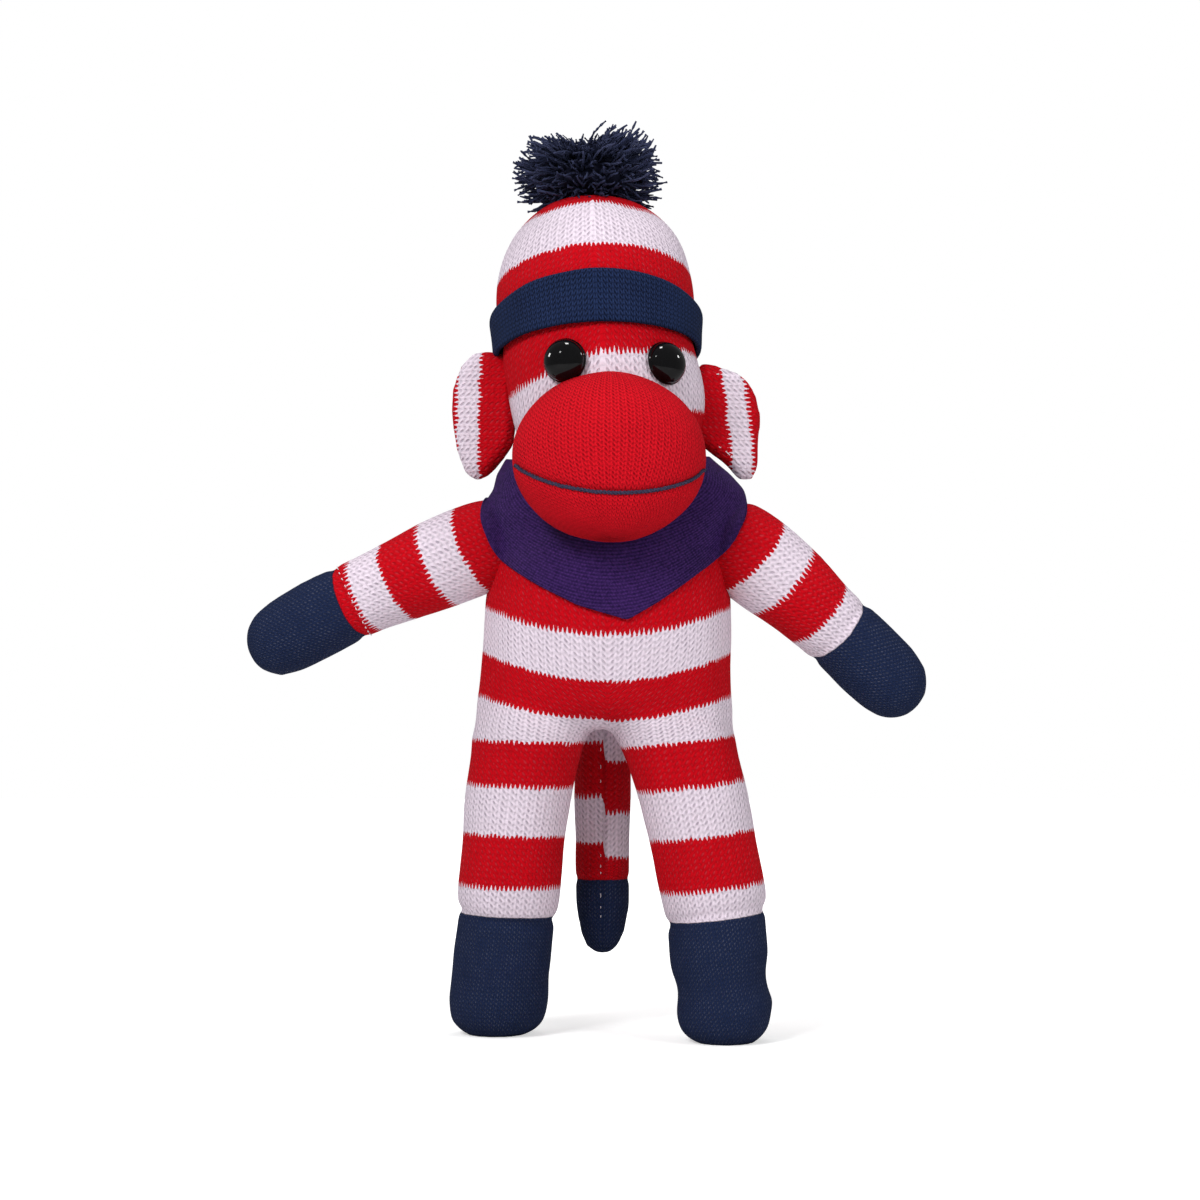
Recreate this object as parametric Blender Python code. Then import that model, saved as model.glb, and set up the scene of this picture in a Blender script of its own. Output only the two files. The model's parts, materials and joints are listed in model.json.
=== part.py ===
"""Sock monkey doll: a stuffed toy of striped knit tubes, with a bobble hat and a bandana.

Metres, +Z up. The doll stands on its soles and faces -Y. Left and right are the viewer's,
so left is -X. Heights of the trunk and its joints are above the ground, those of the head
are above the neck's pivot, and a limb's distances run from its own pivot to its tip.
"""

import math

import bmesh
import bpy
from mathutils import Matrix, Vector

# Cloth, clearances, and the edge angle past which shading is sharp
KNIT = 0.0008
GAP = 0.0003
JOINT_GAP = 0.0005
OVERRUN = 0.004
SHARP_ANGLE = math.radians(50)

# Place of the trunk's middle line, so that the whole doll is centred over the origin
TRUNK_X = 0.0059
TRUNK_Y = 0.0057

# Trunk: height, half width and half depth shares, from the crotch to the neck
HIP_HEIGHT = 0.082
CROTCH_RISE = 0.0045
TORSO_HEIGHT = 0.0615
TORSO_BOTTOM = HIP_HEIGHT + CROTCH_RISE
TORSO_TOP = TORSO_BOTTOM + TORSO_HEIGHT
TORSO_HALF_WIDTH = 0.0375
TORSO_HALF_DEPTH = 0.024
TORSO_SHARES = (
    (0.00, 0.80, 0.25),
    (0.05, 0.94, 0.52),
    (0.13, 0.99, 0.70),
    (0.24, 1.00, 0.88),
    (0.40, 0.985, 1.00),
    (0.58, 0.945, 0.985),
    (0.76, 0.905, 0.92),
    (0.86, 0.84, 0.85),
    (0.935, 0.72, 0.76),
    (1.00, 0.53, 0.667),
)
TORSO_SEGMENTS = 20

# Neck: a bulb that turns in the trunk and nods in the head
NECK_RISE = 0.008
NECK_SEAT = 0.005
NECK_HEIGHT = TORSO_TOP + NECK_RISE
NECK_BACK = 0.002
NECK_BULB_RADIUS = 0.0145
NECK_BULB_TOP = 0.009
NECK_STEM_RADIUS = 0.0125
NECK_STEM_BOTTOM = NECK_RISE + NECK_SEAT
NECK_HOLE_RADIUS = 0.008
NECK_BULB_RINGS = 4
NECK_SEGMENTS = 16
NECK_HOLE_SEGMENTS = 10
NECK_HOLE_TURN = math.radians(7)

# Head: height, half width and half depth shares of the face, up to the hat
FACE_HEIGHT = 0.030
HEAD_HALF_WIDTH = 0.0270
HEAD_HALF_DEPTH = 0.026
FACE_SHARES = (
    (-0.10, 0.64, 0.65),
    (0.03, 0.73, 0.75),
    (0.20, 0.83, 0.85),
    (0.40, 0.92, 0.93),
    (0.63, 0.98, 0.985),
    (0.87, 1.00, 1.00),
    (1.03, 0.985, 0.985),
)
TIP_START_SHARE = 0.33
TIP_END_SHARE = 1.13
HEAD_SEGMENTS = 20

# Hat: it tips back and a little sideways about the top of the face
HAT_TIP = math.radians(16)
HAT_ROLL = math.radians(2)
HAT_SHIFT = -0.0028
HAT_HEIGHT = 0.0485
HAT_RADIUS = 0.0273
HAT_DEPTH_SHARE = 0.96
HAT_SHARES = (
    (0.10, 1.00),
    (0.30, 1.00),
    (0.50, 0.995),
    (0.63, 0.945),
    (0.76, 0.84),
    (0.87, 0.68),
    (0.955, 0.46),
    (1.00, 0.16),
)
CUFF_BOTTOM = 0.0043
CUFF_HEIGHT = 0.0139
CUFF_THICKNESS = 0.0019
CUFF_EDGE_SHARE = 0.35

# Muzzle: an egg that leans forward at the bottom, cut by the head and by the chest
MUZZLE_OUT = 0.002
MUZZLE_FORWARD = HEAD_HALF_DEPTH + MUZZLE_OUT
MUZZLE_HEIGHT = 0.0052
MUZZLE_SIDE = 0.0004
MUZZLE_HALF_WIDTH = 0.027
MUZZLE_HALF_DEPTH = 0.019
MUZZLE_HALF_HEIGHT = 0.024
MUZZLE_LEAN = math.radians(20)
MUZZLE_CHEST_GAP = 0.0046
MUZZLE_NECK_RADIUS = 0.0190
MUZZLE_NECK_TOP = 0.0010
MUZZLE_SEGMENTS = 18
MUZZLE_RINGS = 10

# Mouth: a thread laid over the muzzle
MOUTH_THREAD_RADIUS = 0.0005
MOUTH_HALF_WIDTH = 0.0255
MOUTH_END_HEIGHT = 0.0028
MOUTH_MIDDLE_HEIGHT = -0.0045
MOUTH_POINTS = 17

# Eyes: a glossy dome on a stem, and the washer that locks it behind the knit
EYE_RADIUS = 0.0061
EYE_DOME = 0.0042
EYE_RIM = 0.0008
EYE_HEIGHT = 0.0276
LEFT_EYE_ANGLE = math.radians(-20)
RIGHT_EYE_ANGLE = math.radians(41)
EYE_STEM_RADIUS = 0.0013
EYE_STEM_LENGTH = 0.0042
EYE_WASHER_RADIUS = 0.0045
EYE_WASHER_THICKNESS = 0.0012
EYE_SEGMENTS = 16
EYE_DOME_RINGS = 4

# Ears: flat D-shaped pads that fold about their seam
EAR_WIDTH = 0.0160
EAR_HEIGHT = 0.0325
EAR_THICKNESS = 0.0046
EAR_BACK = 0.001
LEFT_EAR_HEIGHT = 0.0162
RIGHT_EAR_HEIGHT = 0.0148
EAR_TURN = math.radians(12)
EAR_SHARES = (
    (0.00, 0.44),
    (0.20, 0.49),
    (0.50, 0.48),
    (0.80, 0.40),
    (0.97, 0.22),
    (1.00, 0.02),
    (0.93, -0.26),
    (0.80, -0.45),
    (0.55, -0.50),
    (0.30, -0.43),
    (0.12, -0.33),
    (0.00, -0.24),
    (-0.04, -0.02),
    (-0.04, 0.22),
)
EAR_LAYER_SHARES = ((-0.50, 0.78), (-0.34, 0.93), (0.00, 1.00), (0.34, 0.93), (0.50, 0.78))

# Pompom: a tufted ball of yarn, cut flat by the hat, and the thread that ties it down
POMPOM_HALF_WIDTH = 0.0240
POMPOM_HALF_DEPTH = 0.0215
POMPOM_HALF_HEIGHT = 0.0165
POMPOM_SINK = 0.0095
POMPOM_LIFT = POMPOM_HALF_HEIGHT - POMPOM_SINK
POMPOM_SIDE = -0.0018
POMPOM_TUFT_SHARE = 0.10
POMPOM_WAIST_SHARE = 0.12
POMPOM_WAIST_WIDTH_SHARE = 0.25
POMPOM_TUFTS_AROUND = 9
POMPOM_DETAIL = 3
TIE_RADIUS = 0.0010
TIE_LENGTH = 0.0070
TIE_SEGMENTS = 8

# Arms: distance, thickness shares from the shoulder's ball to the tip of the hand
ARM_SEGMENTS = 14
ARM_ROOT_RADIUS = 0.0120
ARM_SHARES = (
    (0.20, 0.98),
    (0.38, 0.875),
    (0.56, 0.86),
    (0.72, 0.90),
    (0.84, 0.87),
    (0.93, 0.70),
    (0.98, 0.42),
    (1.00, 0.18),
)
ARM_ROOT_RINGS = 3
LEFT_ARM_SINK = 0.0036
LEFT_ARM_DROP = 0.0112
LEFT_ARM_SIDE = LEFT_ARM_SINK - TORSO_HALF_WIDTH
LEFT_ARM_HEIGHT = TORSO_TOP - LEFT_ARM_DROP
LEFT_ARM_LENGTH = 0.0713
LEFT_ARM_SEAM = 0.0402
LEFT_ARM_DROOP = math.radians(24.6)
LEFT_ARM_LOWER = math.radians(14)
RIGHT_ARM_SINK = 0.0015
RIGHT_ARM_DROP = 0.0110
RIGHT_ARM_SIDE = TORSO_HALF_WIDTH - RIGHT_ARM_SINK
RIGHT_ARM_HEIGHT = TORSO_TOP - RIGHT_ARM_DROP
RIGHT_ARM_LENGTH = 0.0665
RIGHT_ARM_SEAM = 0.0360
RIGHT_ARM_DROOP = math.radians(42)
RIGHT_ARM_LOWER = math.radians(8)
ARM_SOCKET_SEGMENTS = 16
ARM_SOCKET_RINGS = 5

# Legs: a barrel at the hip, then distance, half width and half depth shares to the sole
LEG_SEGMENTS = 14
LEG_HALF_WIDTH = 0.0155
LEG_HALF_DEPTH = 0.0160
LEG_SHARES = (
    (0.00, 1.00, 1.00),
    (0.14, 0.945, 0.91),
    (0.38, 0.91, 0.84),
    (0.54, 0.905, 0.83),
    (0.59, 0.82, 0.77),
    (0.72, 0.84, 0.80),
    (0.88, 0.865, 0.82),
    (0.955, 0.81, 0.77),
    (1.00, 0.56, 0.53),
)
LEG_ROOT_SHARES = ((0.96, 0.70), (0.80, 0.90), (0.50, 0.98))
FOOT_SHARE = 0.59
FOOT_LEVEL_SHARE = 0.75
LEFT_LEG_SINK = -0.0004
LEFT_LEG_SIDE = LEFT_LEG_SINK + LEG_HALF_WIDTH - TORSO_HALF_WIDTH
LEFT_LEG_SPLAY = math.radians(6.5)
LEFT_LEG_BACK = math.radians(6)
RIGHT_LEG_SINK = 0.0015
RIGHT_LEG_SIDE = TORSO_HALF_WIDTH - LEG_HALF_WIDTH - RIGHT_LEG_SINK
RIGHT_LEG_SPLAY = math.radians(9.4)
RIGHT_LEG_BACK = math.radians(-7)
HIP_SEGMENTS = 12

# Tail: it hangs from the lower back
TAIL_SEGMENTS = 12
TAIL_SIDE = -0.0015
TAIL_RISE = 0.004
TAIL_HEIGHT = TORSO_BOTTOM + TAIL_RISE
TAIL_LENGTH = 0.067
TAIL_HALF_WIDTH = 0.0079
TAIL_HALF_DEPTH = 0.0060
TAIL_TIP_START = 0.0470
TAIL_SHARES = (
    (0.00, 0.84, 1.00),
    (0.15, 1.00, 1.00),
    (0.45, 1.00, 1.00),
    (0.70, 0.95, 1.00),
    (0.80, 0.92, 0.98),
    (0.91, 0.74, 0.84),
    (0.97, 0.48, 0.58),
    (1.00, 0.20, 0.25),
)
TAIL_ROOT_SHARES = ((0.95, 0.60), (0.78, 0.74), (0.42, 0.82))

# Bandana: top and bottom edge heights by the angle from the front, and the cowl's width
BANDANA_THICKNESS = 0.0008
BANDANA_LIFT = 0.0004
BANDANA_SHOULDER_LIFT = 0.0017
BANDANA_FOLD = 0.0007
BANDANA_FOLDS = 7
COWL_RISE = 0.014
BANDANA_DROP = 0.032
BANDANA_TOP = TORSO_TOP + COWL_RISE
BANDANA_TIP = TORSO_TOP - BANDANA_DROP
COWL_TOP_HALF_WIDTH = 0.0262
COWL_TOP_HALF_DEPTH = 0.0245
COWL_HALF_WIDTH = 0.0352
COWL_WIDE_DROP = 0.004
COWL_WIDE_HEIGHT = TORSO_TOP - COWL_WIDE_DROP
BANDANA_TOP_SHARES = (
    (-180, 0.92),
    (-110, 0.96),
    (-85, 0.95),
    (-60, 0.78),
    (-35, 0.68),
    (0, 0.66),
    (35, 0.68),
    (60, 0.78),
    (85, 0.97),
    (110, 0.96),
    (180, 0.92),
)
BANDANA_BOTTOM_SHARES = (
    (-180, 0.62),
    (-130, 0.68),
    (-100, 0.765),
    (-82, 0.76),
    (-74, 0.65),
    (-62, 0.40),
    (-38, 0.215),
    (-15, 0.085),
    (10, 0.0),
    (25, 0.10),
    (45, 0.27),
    (62, 0.42),
    (74, 0.65),
    (82, 0.76),
    (100, 0.765),
    (130, 0.68),
    (180, 0.62),
)
BANDANA_SEGMENTS = 44
BANDANA_ROWS = 6
KNOT_DROP = 0.0025
KNOT_HEIGHT = TORSO_TOP - KNOT_DROP
KNOT_HALF_WIDTH = 0.0050
KNOT_HALF_DEPTH = 0.0030
KNOT_HALF_HEIGHT = 0.0036
KNOT_END_LENGTH = 0.0150
KNOT_END_HALF_WIDTH = 0.0034
KNOT_END_HALF_THICKNESS = 0.0006
KNOT_END_SHARES = ((0.0, 0.6), (0.5, 1.0), (1.0, 0.35))
KNOT_END_SPREAD = math.radians(28)
KNOT_END_KICK = math.radians(12)
KNOT_SEGMENTS = 12
KNOT_END_SEGMENTS = 8

# Colours, linear
RED = (0.47, 0.006, 0.013)
WHITE = (0.74, 0.66, 0.72)
NAVY = (0.014, 0.022, 0.058)
PURPLE = (0.040, 0.016, 0.090)
BLACK = (0.008, 0.008, 0.009)
STUFFING = (0.85, 0.85, 0.83)
CLEAR_GREY = (0.45, 0.45, 0.44)


def clear_scene():
    """Remove every object, so that the script can be run again."""
    for thing in list(bpy.data.objects):
        bpy.data.objects.remove(thing, do_unlink=True)


def material(name, colour, roughness):
    """One Principled material."""
    made = bpy.data.materials.new(name)
    made.use_nodes = True
    shader = made.node_tree.nodes["Principled BSDF"]
    shader.inputs["Base Color"].default_value = (*colour, 1.0)
    shader.inputs["Roughness"].default_value = roughness
    shader.inputs["Metallic"].default_value = 0.0
    return made


def pivot(name, parent, place, turn=None):
    """An empty on a joint's axis, which carries the pieces that move about it."""
    empty = bpy.data.objects.new(name, None)
    bpy.context.scene.collection.objects.link(empty)
    empty.parent = parent
    empty.matrix_local = Matrix.Translation(place) @ (turn or Matrix.Identity(4))
    return empty


def piece(name, bm, parent, colour, roughness=0.9):
    """Turn a bmesh into a smooth-shaded object with its own material."""
    bmesh.ops.recalc_face_normals(bm, faces=bm.faces)
    mesh = bpy.data.meshes.new(name)
    bm.to_mesh(mesh)
    bm.free()
    mesh.shade_smooth()
    mesh.set_sharp_from_angle(angle=SHARP_ANGLE)
    made = bpy.data.objects.new(name, mesh)
    bpy.context.scene.collection.objects.link(made)
    made.parent = parent
    mesh.materials.append(material(name, colour, roughness))
    return made


def cutter(name, bm, parent):
    """An object that only cuts others."""
    bmesh.ops.recalc_face_normals(bm, faces=bm.faces)
    mesh = bpy.data.meshes.new(name)
    bm.to_mesh(mesh)
    bm.free()
    made = bpy.data.objects.new(name, mesh)
    bpy.context.scene.collection.objects.link(made)
    made.parent = parent
    made.hide_render = True
    made.display_type = "WIRE"
    return made


def cut(target, *tools):
    """Subtract other objects from one, exactly."""
    for tool in tools:
        boolean = target.modifiers.new("cut_" + tool.name, "BOOLEAN")
        boolean.operation = "DIFFERENCE"
        boolean.object = tool
        boolean.solver = "EXACT"


def upright(height):
    """Frame of a level cross-section at a height on the Z axis."""
    return Matrix.Translation((0, 0, height))


def ring(frame, half_width, half_depth, segments):
    """Points of an ellipse in a frame's XY plane."""
    turns = [2 * math.pi * step / segments for step in range(segments)]
    return [frame @ Vector((half_width * math.cos(t), half_depth * math.sin(t), 0)) for t in turns]


def loft(rings, closed=False):
    """Extrude a cap through rings of points. A closed loft comes back to its first ring.

    Its bent quads are split along their shorter diagonals, so that nested lofts bend alike.
    """
    bm = bmesh.new()
    bmesh.ops.create_circle(bm, cap_ends=True, radius=GAP, segments=len(rings[0]))
    bm.faces.ensure_lookup_table()
    cap = bm.faces[0]
    first = list(cap.verts)
    for vert, point in zip(first, rings[0]):
        vert.co = point
    for points in rings[1:]:
        cap = bmesh.ops.extrude_discrete_faces(bm, faces=[cap])["faces"][0]
        for vert, point in zip(cap.verts, points):
            vert.co = point
    if closed:
        last = list(cap.verts)
        bm.faces.remove(cap)
        for step in range(len(first)):
            after = (step + 1) % len(first)
            bm.faces.new((last[step], last[after], first[after], first[step]))
    else:
        bm.faces.new(list(reversed(first)))
    quads = [face for face in bm.faces if len(face.verts) == 4]
    bmesh.ops.triangulate(bm, faces=quads, quad_method="SHORT_EDGE")
    return bm


def inset(profile, amount):
    """Move a profile of (height, half width, half depth) inward along its own normals."""
    moved = []
    for index, (height, half_width, half_depth) in enumerate(profile):
        before = profile[max(index - 1, 0)]
        after = profile[min(index + 1, len(profile) - 1)]
        along = after[0] - before[0]
        outward = (after[1] + after[2] - before[1] - before[2]) / 2
        if index in (0, len(profile) - 1) and abs(outward) > abs(along):
            along = 0
        length = math.hypot(along, outward) or 1
        side = amount * abs(along) / length
        lift = amount * outward / length * math.copysign(1, profile[-1][0] - profile[0][0])
        moved.append((height + lift, max(half_width - side, GAP), max(half_depth - side, GAP)))
    return moved


def halves(profile, level):
    """Split a profile at a height into the part before it and the part from it on."""
    for index in range(len(profile) - 1):
        here, there = profile[index], profile[index + 1]
        if min(here[0], there[0]) <= level <= max(here[0], there[0]):
            share = (level - here[0]) / (there[0] - here[0])
            middle = tuple(a + (b - a) * share for a, b in zip(here, there))
            return [p for p in profile[: index + 1] if p != middle] + [middle], [middle] + [
                p for p in profile[index + 1 :] if p != middle
            ]
    raise ValueError("the level lies outside the profile")


def rings_of(profile, segments, frame_at=upright):
    """Rings of points of a profile."""
    return [ring(frame_at(h), w, d, segments) for h, w, d in profile]


def sock(profile, inner, segments, frame_at=upright):
    """A knit skin that is closed at its profile's first point and open at its last."""
    return loft(
        rings_of(profile, segments, frame_at) + rings_of(list(reversed(inner)), segments, frame_at)
    )


def sphere(radius, segments):
    """A ball about the origin."""
    bm = bmesh.new()
    bmesh.ops.create_uvsphere(bm, u_segments=segments, v_segments=segments // 2, radius=radius)
    return bm


def socket_ball(radius, segments):
    """A ball whose flat faces all stay outside a radius."""
    return sphere(radius / math.cos(math.pi / segments) ** 2, segments)


def cylinder(radius, bottom, top, segments):
    """An upright cylinder on the Z axis."""
    return loft([ring(upright(z), radius, radius, segments) for z in (bottom, top)])


def torso_profile():
    """Profile of the trunk, from the crotch to the neck."""
    height = TORSO_TOP - TORSO_BOTTOM
    return [
        (TORSO_BOTTOM + height * z, TORSO_HALF_WIDTH * w, TORSO_HALF_DEPTH * d)
        for z, w, d in TORSO_SHARES
    ]


def round_root(radius, rings):
    """Profile of a ball's far half, from its pole to its equator."""
    turns = [math.pi / 2 * (step + 0.5) / (rings + 0.5) for step in range(rings)]
    return [(radius * math.cos(t), radius * math.sin(t), radius * math.sin(t)) for t in turns]


def arm_profile(length, root_rings=ARM_ROOT_RINGS):
    """Profile of an arm, from the pole of its root ball down to the tip of its hand."""
    radius = ARM_ROOT_RADIUS
    root = round_root(radius, root_rings) + [(0, radius, radius)]
    return root + [(-length * s, radius * r, radius * r) for s, r in ARM_SHARES]


def barrel_root(half_width, half_depth, shares):
    """Profile of a barrel's upper half, which is round about the cross axis."""
    return [(half_depth * h, half_width * w, half_depth * math.sqrt(1 - h * h)) for h, w in shares]


def leg_profile(length):
    """Profile of a leg, from the top of its hip barrel down to its sole."""
    root = barrel_root(LEG_HALF_WIDTH, LEG_HALF_DEPTH, LEG_ROOT_SHARES)
    return root + [
        (-length * s, LEG_HALF_WIDTH * w, LEG_HALF_DEPTH * d) for s, w, d in LEG_SHARES
    ]


def tail_profile():
    """Profile of the tail, from its root down to its tip."""
    root = barrel_root(TAIL_HALF_WIDTH, TAIL_HALF_DEPTH, TAIL_ROOT_SHARES)
    return root + [
        (-TAIL_LENGTH * s, TAIL_HALF_WIDTH * w, TAIL_HALF_DEPTH * d) for s, w, d in TAIL_SHARES
    ]


def tail_back():
    """How far back the tail's pivot lies, so that its barrel is just clear of the trunk."""
    reaches = []
    for step in range(TAIL_SEGMENTS + 1):
        turn = math.pi * step / TAIL_SEGMENTS
        level = max(TAIL_HEIGHT + TAIL_HALF_DEPTH * math.cos(turn), TORSO_BOTTOM)
        _, _, half_depth = halves(torso_profile(), level)[0][-1]
        reaches.append(half_depth + TAIL_HALF_DEPTH * math.sin(turn))
    return max(reaches) + JOINT_GAP


def shoulder_cutters(name, shoulder, clearance):
    """The space round an arm's root at rest, and round its sleeve when the arm is lowered."""
    joint, length, lower = shoulder
    profile = inset(arm_profile(length, ARM_SOCKET_RINGS), -clearance)
    root = profile[: ARM_SOCKET_RINGS + 3]
    sleeve = loft(rings_of(root[ARM_SOCKET_RINGS:], ARM_SOCKET_SEGMENTS))
    half_step = Matrix.Rotation(math.pi / ARM_SOCKET_SEGMENTS, 3, "Z")
    turn = Matrix.Rotation(lower, 3, "Y") @ half_step
    bmesh.ops.rotate(sleeve, matrix=turn, verts=sleeve.verts)
    at_rest = cutter(name, loft(rings_of(root, ARM_SOCKET_SEGMENTS)), joint)
    return at_rest, cutter(name + "_lowered", sleeve, joint)


def hip_cutter(name, parent, outer, clearance):
    """The space that a leg's barrel needs, open to the front and to its outer side."""
    radius = (LEG_HALF_DEPTH + clearance) / math.cos(math.pi / 2 / HIP_SEGMENTS)
    reach = TORSO_HALF_DEPTH + OVERRUN
    turns = [math.pi * step / HIP_SEGMENTS for step in range(HIP_SEGMENTS + 1)]
    outline = [(radius * math.sin(t), radius * math.cos(t)) for t in turns]
    outline += [(-reach, -radius), (-reach, radius)]
    side = LEG_HALF_WIDTH + clearance
    ends = (-outer * side, outer * (side + OVERRUN))
    return cutter(name, loft([[(x, y, z) for y, z in outline] for x in ends]), parent)


def build_limbs(doll):
    """Arms, legs and tail, each about the empty on its joint. Returns the joints' empties."""
    left_arm = pivot(
        "left_shoulder",
        doll,
        (LEFT_ARM_SIDE, 0, LEFT_ARM_HEIGHT),
        Matrix.Rotation(math.pi / 2 - LEFT_ARM_DROOP, 4, "Y"),
    )
    right_arm = pivot(
        "right_shoulder",
        doll,
        (RIGHT_ARM_SIDE, 0, RIGHT_ARM_HEIGHT),
        Matrix.Rotation(RIGHT_ARM_DROOP - math.pi / 2, 4, "Y"),
    )
    arms = (
        ("left_arm", "left_hand", left_arm, LEFT_ARM_LENGTH, LEFT_ARM_SEAM),
        ("right_arm", "right_hand", right_arm, RIGHT_ARM_LENGTH, RIGHT_ARM_SEAM),
    )
    for arm, hand, joint, length, seam in arms:
        build_limb(arm, hand, joint, arm_profile(length), -seam, ARM_SEGMENTS)

    hips = []
    legs = (
        ("left_leg", "left_foot", LEFT_LEG_SIDE, LEFT_LEG_SPLAY, LEFT_LEG_BACK),
        ("right_leg", "right_foot", RIGHT_LEG_SIDE, -RIGHT_LEG_SPLAY, RIGHT_LEG_BACK),
    )
    for leg, foot, side, splay, back in legs:
        hip = pivot(leg + "_hip", doll, (side, 0, HIP_HEIGHT), Matrix.Rotation(splay, 4, "Y"))
        swing = pivot(leg + "_swing", hip, (0, 0, 0), Matrix.Rotation(back, 4, "X"))
        length = HIP_HEIGHT / (math.cos(splay) * math.cos(back))
        frame_at = level_foot(length, splay, back)
        profile = leg_profile(length)
        build_limb(leg, foot, swing, profile, -length * FOOT_SHARE, LEG_SEGMENTS, frame_at)
        hips.append(hip)

    tail = pivot("tail_root", doll, (TAIL_SIDE, tail_back(), TAIL_HEIGHT))
    build_limb("tail", "tail_tip", tail, tail_profile(), -TAIL_TIP_START, TAIL_SEGMENTS)
    shoulders = (
        (left_arm, LEFT_ARM_LENGTH, -LEFT_ARM_LOWER),
        (right_arm, RIGHT_ARM_LENGTH, RIGHT_ARM_LOWER),
    )
    return shoulders, hips


def level_foot(length, splay, back):
    """Frames of a leg's cross-sections, which turn level towards the sole."""
    level = (Matrix.Rotation(splay, 4, "Y") @ Matrix.Rotation(back, 4, "X")).inverted().to_quaternion()
    straight = Matrix.Identity(4).to_quaternion()

    def frame_at(height):
        share = (-height / length - FOOT_LEVEL_SHARE) / (1 - FOOT_LEVEL_SHARE)
        turned = straight.slerp(level, min(max(share, 0), 1))
        return Matrix.Translation((0, 0, height)) @ turned.to_matrix().to_4x4()

    return frame_at


def build_limb(limb, end, parent, profile, seam, segments, frame_at=upright):
    """One limb under the names that its pieces go by."""
    inner = inset(profile, KNIT)
    outer_root, _ = halves(profile, seam + GAP / 2)
    inner_root, _ = halves(inner, seam + GAP / 2)
    _, outer_tip = halves(profile, seam - GAP / 2)
    _, inner_tip = halves(inner, seam - GAP / 2)
    outer_tip.reverse()
    inner_tip.reverse()
    piece(limb + "_skin", sock(outer_root, inner_root, segments, frame_at), parent, RED)
    piece(end + "_skin", sock(outer_tip, inner_tip, segments, frame_at), parent, NAVY)
    stuffing = loft(rings_of(inset(profile, KNIT + GAP), segments, frame_at))
    piece(limb + "_filling", stuffing, parent, STUFFING)


def build_torso(doll, shoulders, hips):
    """The trunk's skin, with walls round the four sockets, and its stuffing."""
    profile = torso_profile()
    cavity = cutter("torso_cavity", loft(rings_of(inset(profile, KNIT), TORSO_SEGMENTS)), doll)
    skin = piece("torso_skin", loft(rings_of(profile, TORSO_SEGMENTS)), doll, RED)
    stuffing = loft(rings_of(inset(profile, KNIT + GAP), TORSO_SEGMENTS))
    filling = piece("torso_filling", stuffing, doll, STUFFING)
    clearances = ((skin, JOINT_GAP), (cavity, JOINT_GAP + KNIT), (filling, JOINT_GAP + KNIT + GAP))
    for target, clearance in clearances:
        for index, shoulder in enumerate(shoulders):
            cut(target, *shoulder_cutters(f"{target.name}_shoulder_{index}", shoulder, clearance))
        for outer, joint in zip((-1, 1), hips):
            cut(target, hip_cutter(f"{target.name}_hip_{outer}", joint, outer, clearance))
    neck = pivot("neck_turn", doll, (0, NECK_BACK, NECK_HEIGHT))
    bore = NECK_STEM_RADIUS + JOINT_GAP
    floor = -NECK_STEM_BOTTOM - JOINT_GAP
    neck_bore = cutter("neck_bore", cylinder(bore, floor, OVERRUN, NECK_SEGMENTS), neck)
    cut(skin, cavity, neck_bore)
    cut(filling, neck_bore)
    return neck


def build_neck(neck):
    """The neck's knit tube and its plug of stuffing."""
    start = math.asin(NECK_BULB_TOP / NECK_BULB_RADIUS)
    end = -math.acos(NECK_STEM_RADIUS / NECK_BULB_RADIUS)
    turns = [start + (end - start) * step / NECK_BULB_RINGS for step in range(NECK_BULB_RINGS + 1)]
    radius = NECK_BULB_RADIUS
    profile = [(radius * math.sin(t), radius * math.cos(t), radius * math.cos(t)) for t in turns]
    profile.append((-NECK_STEM_BOTTOM, NECK_STEM_RADIUS, NECK_STEM_RADIUS))
    inner = [(z, w - KNIT, d - KNIT) for z, w, d in profile]
    plug = [(z, w - KNIT - GAP, d - KNIT - GAP) for z, w, d in profile]
    tube = rings_of(profile, NECK_SEGMENTS) + rings_of(list(reversed(inner)), NECK_SEGMENTS)
    piece("neck_skin", loft(tube, closed=True), neck, RED)
    piece("neck_filling", loft(rings_of(plug, NECK_SEGMENTS)), neck, STUFFING)


def hat_frame(height):
    """Frame of a cross-section of the hat, at a height above the top of the face."""
    tip = Matrix.Rotation(-HAT_ROLL, 4, "Y") @ Matrix.Rotation(-HAT_TIP, 4, "X")
    return Matrix.Translation((HAT_SHIFT, 0, FACE_HEIGHT)) @ tip @ Matrix.Translation((0, 0, height))


def head_frame(height):
    """Frame of a cross-section of the head, which turns into the hat's frame on the way up."""
    share = (height / FACE_HEIGHT - TIP_START_SHARE) / (TIP_END_SHARE - TIP_START_SHARE)
    share = min(max(share, 0), 1)
    share = share * share * (3 - 2 * share)
    tip = Matrix.Rotation(-HAT_ROLL * share, 4, "Y") @ Matrix.Rotation(-HAT_TIP * share, 4, "X")
    middle = Matrix.Translation((HAT_SHIFT * share**4, 0, FACE_HEIGHT))
    return middle @ tip @ Matrix.Translation((0, 0, height - FACE_HEIGHT))


def hat_profile():
    """Profile of the hat's crown, from its rim to its top."""
    return [
        (HAT_HEIGHT * h, HAT_RADIUS * r, HAT_RADIUS * r * HAT_DEPTH_SHARE) for h, r in HAT_SHARES
    ]


def head_profile():
    """Profile of the head: the face's own shares, then the inside of the hat."""
    face = [
        (FACE_HEIGHT * h, HEAD_HALF_WIDTH * w, HEAD_HALF_DEPTH * d) for h, w, d in FACE_SHARES
    ]
    return face + [(FACE_HEIGHT + h, w, d) for h, w, d in inset(hat_profile(), KNIT + GAP)]


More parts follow.
